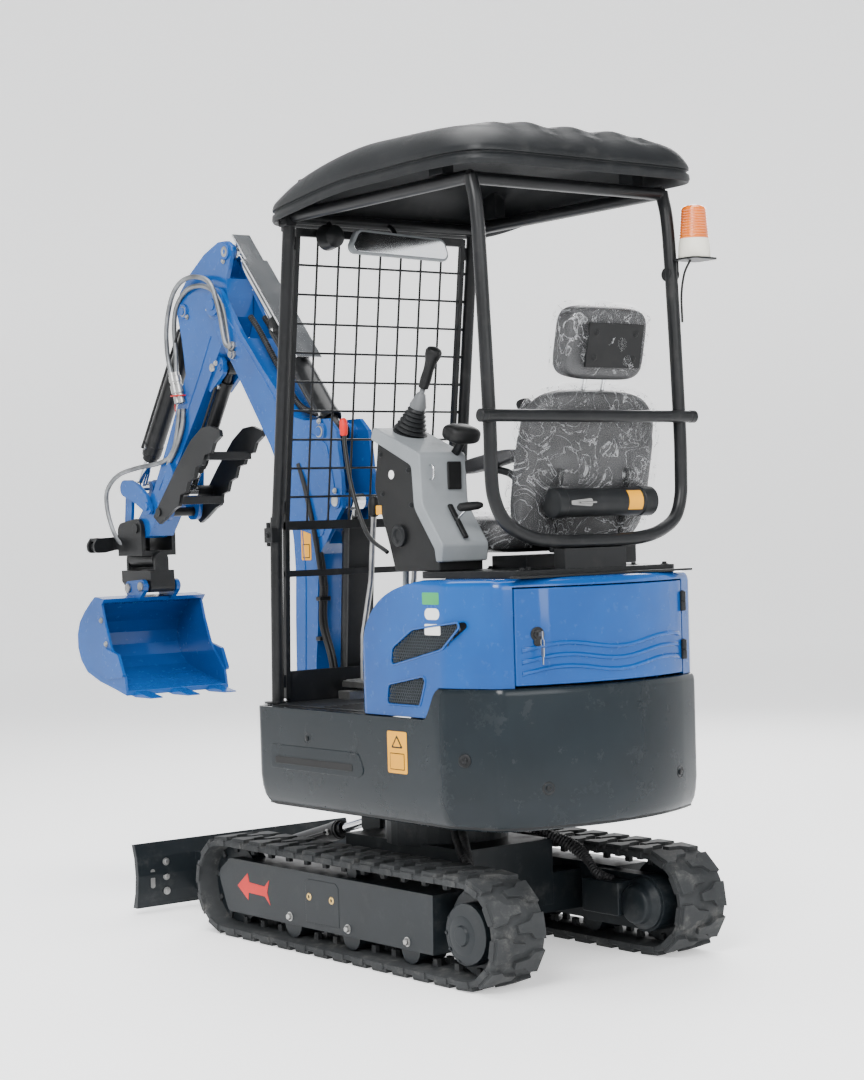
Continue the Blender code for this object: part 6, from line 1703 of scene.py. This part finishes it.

# %% [markdown]
# ## Hoses
# Two braided hoses arch from the boom's side over the arm's pivot, where they must bend with the arm;
# here they ride on no body.  Steel couplers tied with red cord join them to the hoses that
# run down the arm.

# %% Arm hoses
HOSE_RADIUS = 0.0085
for index, (inboard, lower) in enumerate(((0.0, 0.0), (0.02, 0.03))):
    x = 0.086 - inboard
    run = [(0.074, -1.01, 1.915 - lower), (x, -1.035, 1.925 - lower), (x + 0.004, -1.062, 2.035),
           (x + 0.004, -1.11, 2.13 - lower), (x, -1.195, 2.165 - lower),
           (x - 0.004, -1.3, 2.165 - lower), (x - 0.01, -1.385, 2.12 - lower),
           (x - 0.016, -1.44 + lower * 0.6, 2.02), (x - 0.02, -1.448 + lower * 0.8, 1.92),
           (0.064, -1.425 + lower, 1.83)]
    arch = tube(f"arch_hose_{index}", run, HOSE_RADIUS, BRAID, None, 18, 12)
    tuple(at(0.08, -1.07, 2.06))
    tuple(at(0.06, -1.4, 2.06))
    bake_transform(arch)
    turned(f"boom_port_{index}", (0.066, -1.01, 1.915 - lower), (0.3, -1.01, 1.915 - lower),
           [(0, 0.016), (0.012, 0.016), (0.014, 0.012), (0.022, 0.012)], 6, STEEL, "boom")
    low = Vector((0.064, -1.425 + lower, 1.84))
    on = Vector((0.058, -1.395 + lower, 1.725))
    turned(f"coupler_{index}", low, on,
           [(-0.012, 0.011), (0, 0.011), (0.002, 0.014), (0.022, 0.014), (0.024, 0.0115), (0.034, 0.0115),
            (0.036, 0.0155), (0.064, 0.0155), (0.066, 0.012), (0.1, 0.012), (0.102, 0.009)], 24, STEEL,
            "arm")
    shape = bmesh.new()
    ring = [low + (on - low) * 0.62 + Vector((0.02 * math.cos(turn), 0.02 * math.sin(turn), 0))
            for turn in (math.tau * n / 12 for n in range(13))]
    add_tube(shape, ring, 0.0022, 8, 3)
    add_tube(shape, [ring[6], ring[6] + Vector((0.006, -0.035, -0.03)),
                     ring[6] + Vector((0.004, -0.012, -0.085)), ring[6] + Vector((0, 0.022, -0.04))],
                     0.002, 8, 6)
    finish_piece(f"red_tie_{index}", shape, RED, "arm")
    tube(f"arm_hose_{index}", [(0.058, -1.394 + lower, 1.722), (0.062, -1.4 + lower, 1.66),
                               (0.064, -1.425 + lower * 0.5, 1.59), (0.058, -1.48, 1.545 - lower * 0.5)],
                               HOSE_RADIUS, BRAID, "arm")
print("arm hoses run")

# %% [markdown]
# One more hose loops from the arm round to the hitch.  Two climb from the swing post to the boom's
# side, and two corrugated ones lie in front of the boom's knee.  A hose that crosses a joint rides
# on no body, and the rest ride on the boom.

# %% Hitch and boom hoses
loop_hose = tube("hitch_hose", [(0.058, -1.47, 1.552), (0.066, -1.54, 1.535), (0.078, -1.68, 1.522),
                                (0.082, -1.8, 1.5), (0.082, -1.88, 1.45), (0.078, -1.895, 1.385),
                                  (0.074, -1.87, 1.31), (0.072, -1.83, 1.262), (0.06, -1.8, 1.245)],
                                  HOSE_RADIUS, BRAID, None, 18, 12)
tuple(at(0.07, -1.6, 1.52))
tuple(at(0.07, -1.83, 1.28))
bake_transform(loop_hose)
for index, x in enumerate((0.052, 0.066)):
    climb = tube(f"boom_hose_{index}", [(x, -0.48, 0.63), (x, -0.47, 0.7), (x, -0.5, 0.86),
                                        (x, -0.545, 0.98), (x, -0.536, 1.1)], 0.008, HOSE, None, 18, 12)
    tuple(at(x, -0.47, 0.66))
    tuple(at(x, -0.525, 0.9))
    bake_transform(climb)
    tube(f"boom_run_{index}", [(x, -0.536, 1.1), (x + 0.01, -0.54, 1.2), (x * 0.2 + 0.066, -0.56, 1.3),
                               (x * 0.2 + 0.064, -0.6, 1.42), (x * 0.2 + 0.06, -0.64, 1.5)], 0.008, HOSE,
                               "boom")
shape = bmesh.new()
for y, z in ((-0.537, 1.06), (-0.545, 0.93)):
    add_box(shape, (0.059, y - 0.004, z), (0.044, 0.026, 0.014))
finish_piece("hose_clamps", shape, BLACK, "boom", 0.003)
for index, (x, drift) in enumerate(((0.03, 0.0), (-0.026, 0.02))):
    tube(f"cover_hose_{index}", [(x, -0.56, 1.655), (x, -0.69, 1.7 + drift), (x, -0.8, 1.83 + drift),
                                 (x, -0.905, 1.955), (x, -0.96, 2.01)], 0.0095, HOSE, "boom", 14, 12,
                                 (0.009, 0.0014))
print("boom hoses run")

# %% [markdown]
# ## Bucket and blade
# Three bolts on each side hold the bucket's side cutters, and its ears carry turned pin caps.

# %% Bucket fittings
shape = bmesh.new()
for sign in (1, -1):
    for y, z in ((-1.724, 0.975), (-1.694, 0.89), (-1.648, 0.818)):
        add_bolt(shape, (sign * 0.2155, y, z), (sign, 0, 0), 0.0075, 0.006)
for y, z in ((-1.762, 1.086), (-1.671, 1.092)):
    for sign in (1, -1):
        add_turned(shape, (sign * 0.074, y, z), (sign, y, z),
                   [(0, 0.017), (0.008, 0.017), (0.01, 0.014), (0.01, 0)], 28)
finish_piece("bucket_bolts", shape, STEEL, "bucket")
print("bucket fitted")

# %% [markdown]
# The blade shows three bolts from behind at each end and a narrow slot beside them.

# %% Blade fittings
shape = bmesh.new()
for sign in (1, -1):
    for z in (0.07, 0.12, 0.17):
        add_bolt(shape, (sign * 0.33, -1.1365, z), (0, 1, 0), 0.009, 0.006)
    add_slab(shape, panel((sign * 0.375, 0.085), (sign * 0.392, 0.15), 0.008), "front", -1.139, -1.135)
finish_piece("blade_bolts", shape, STEEL, "blade")
print("blade fitted")
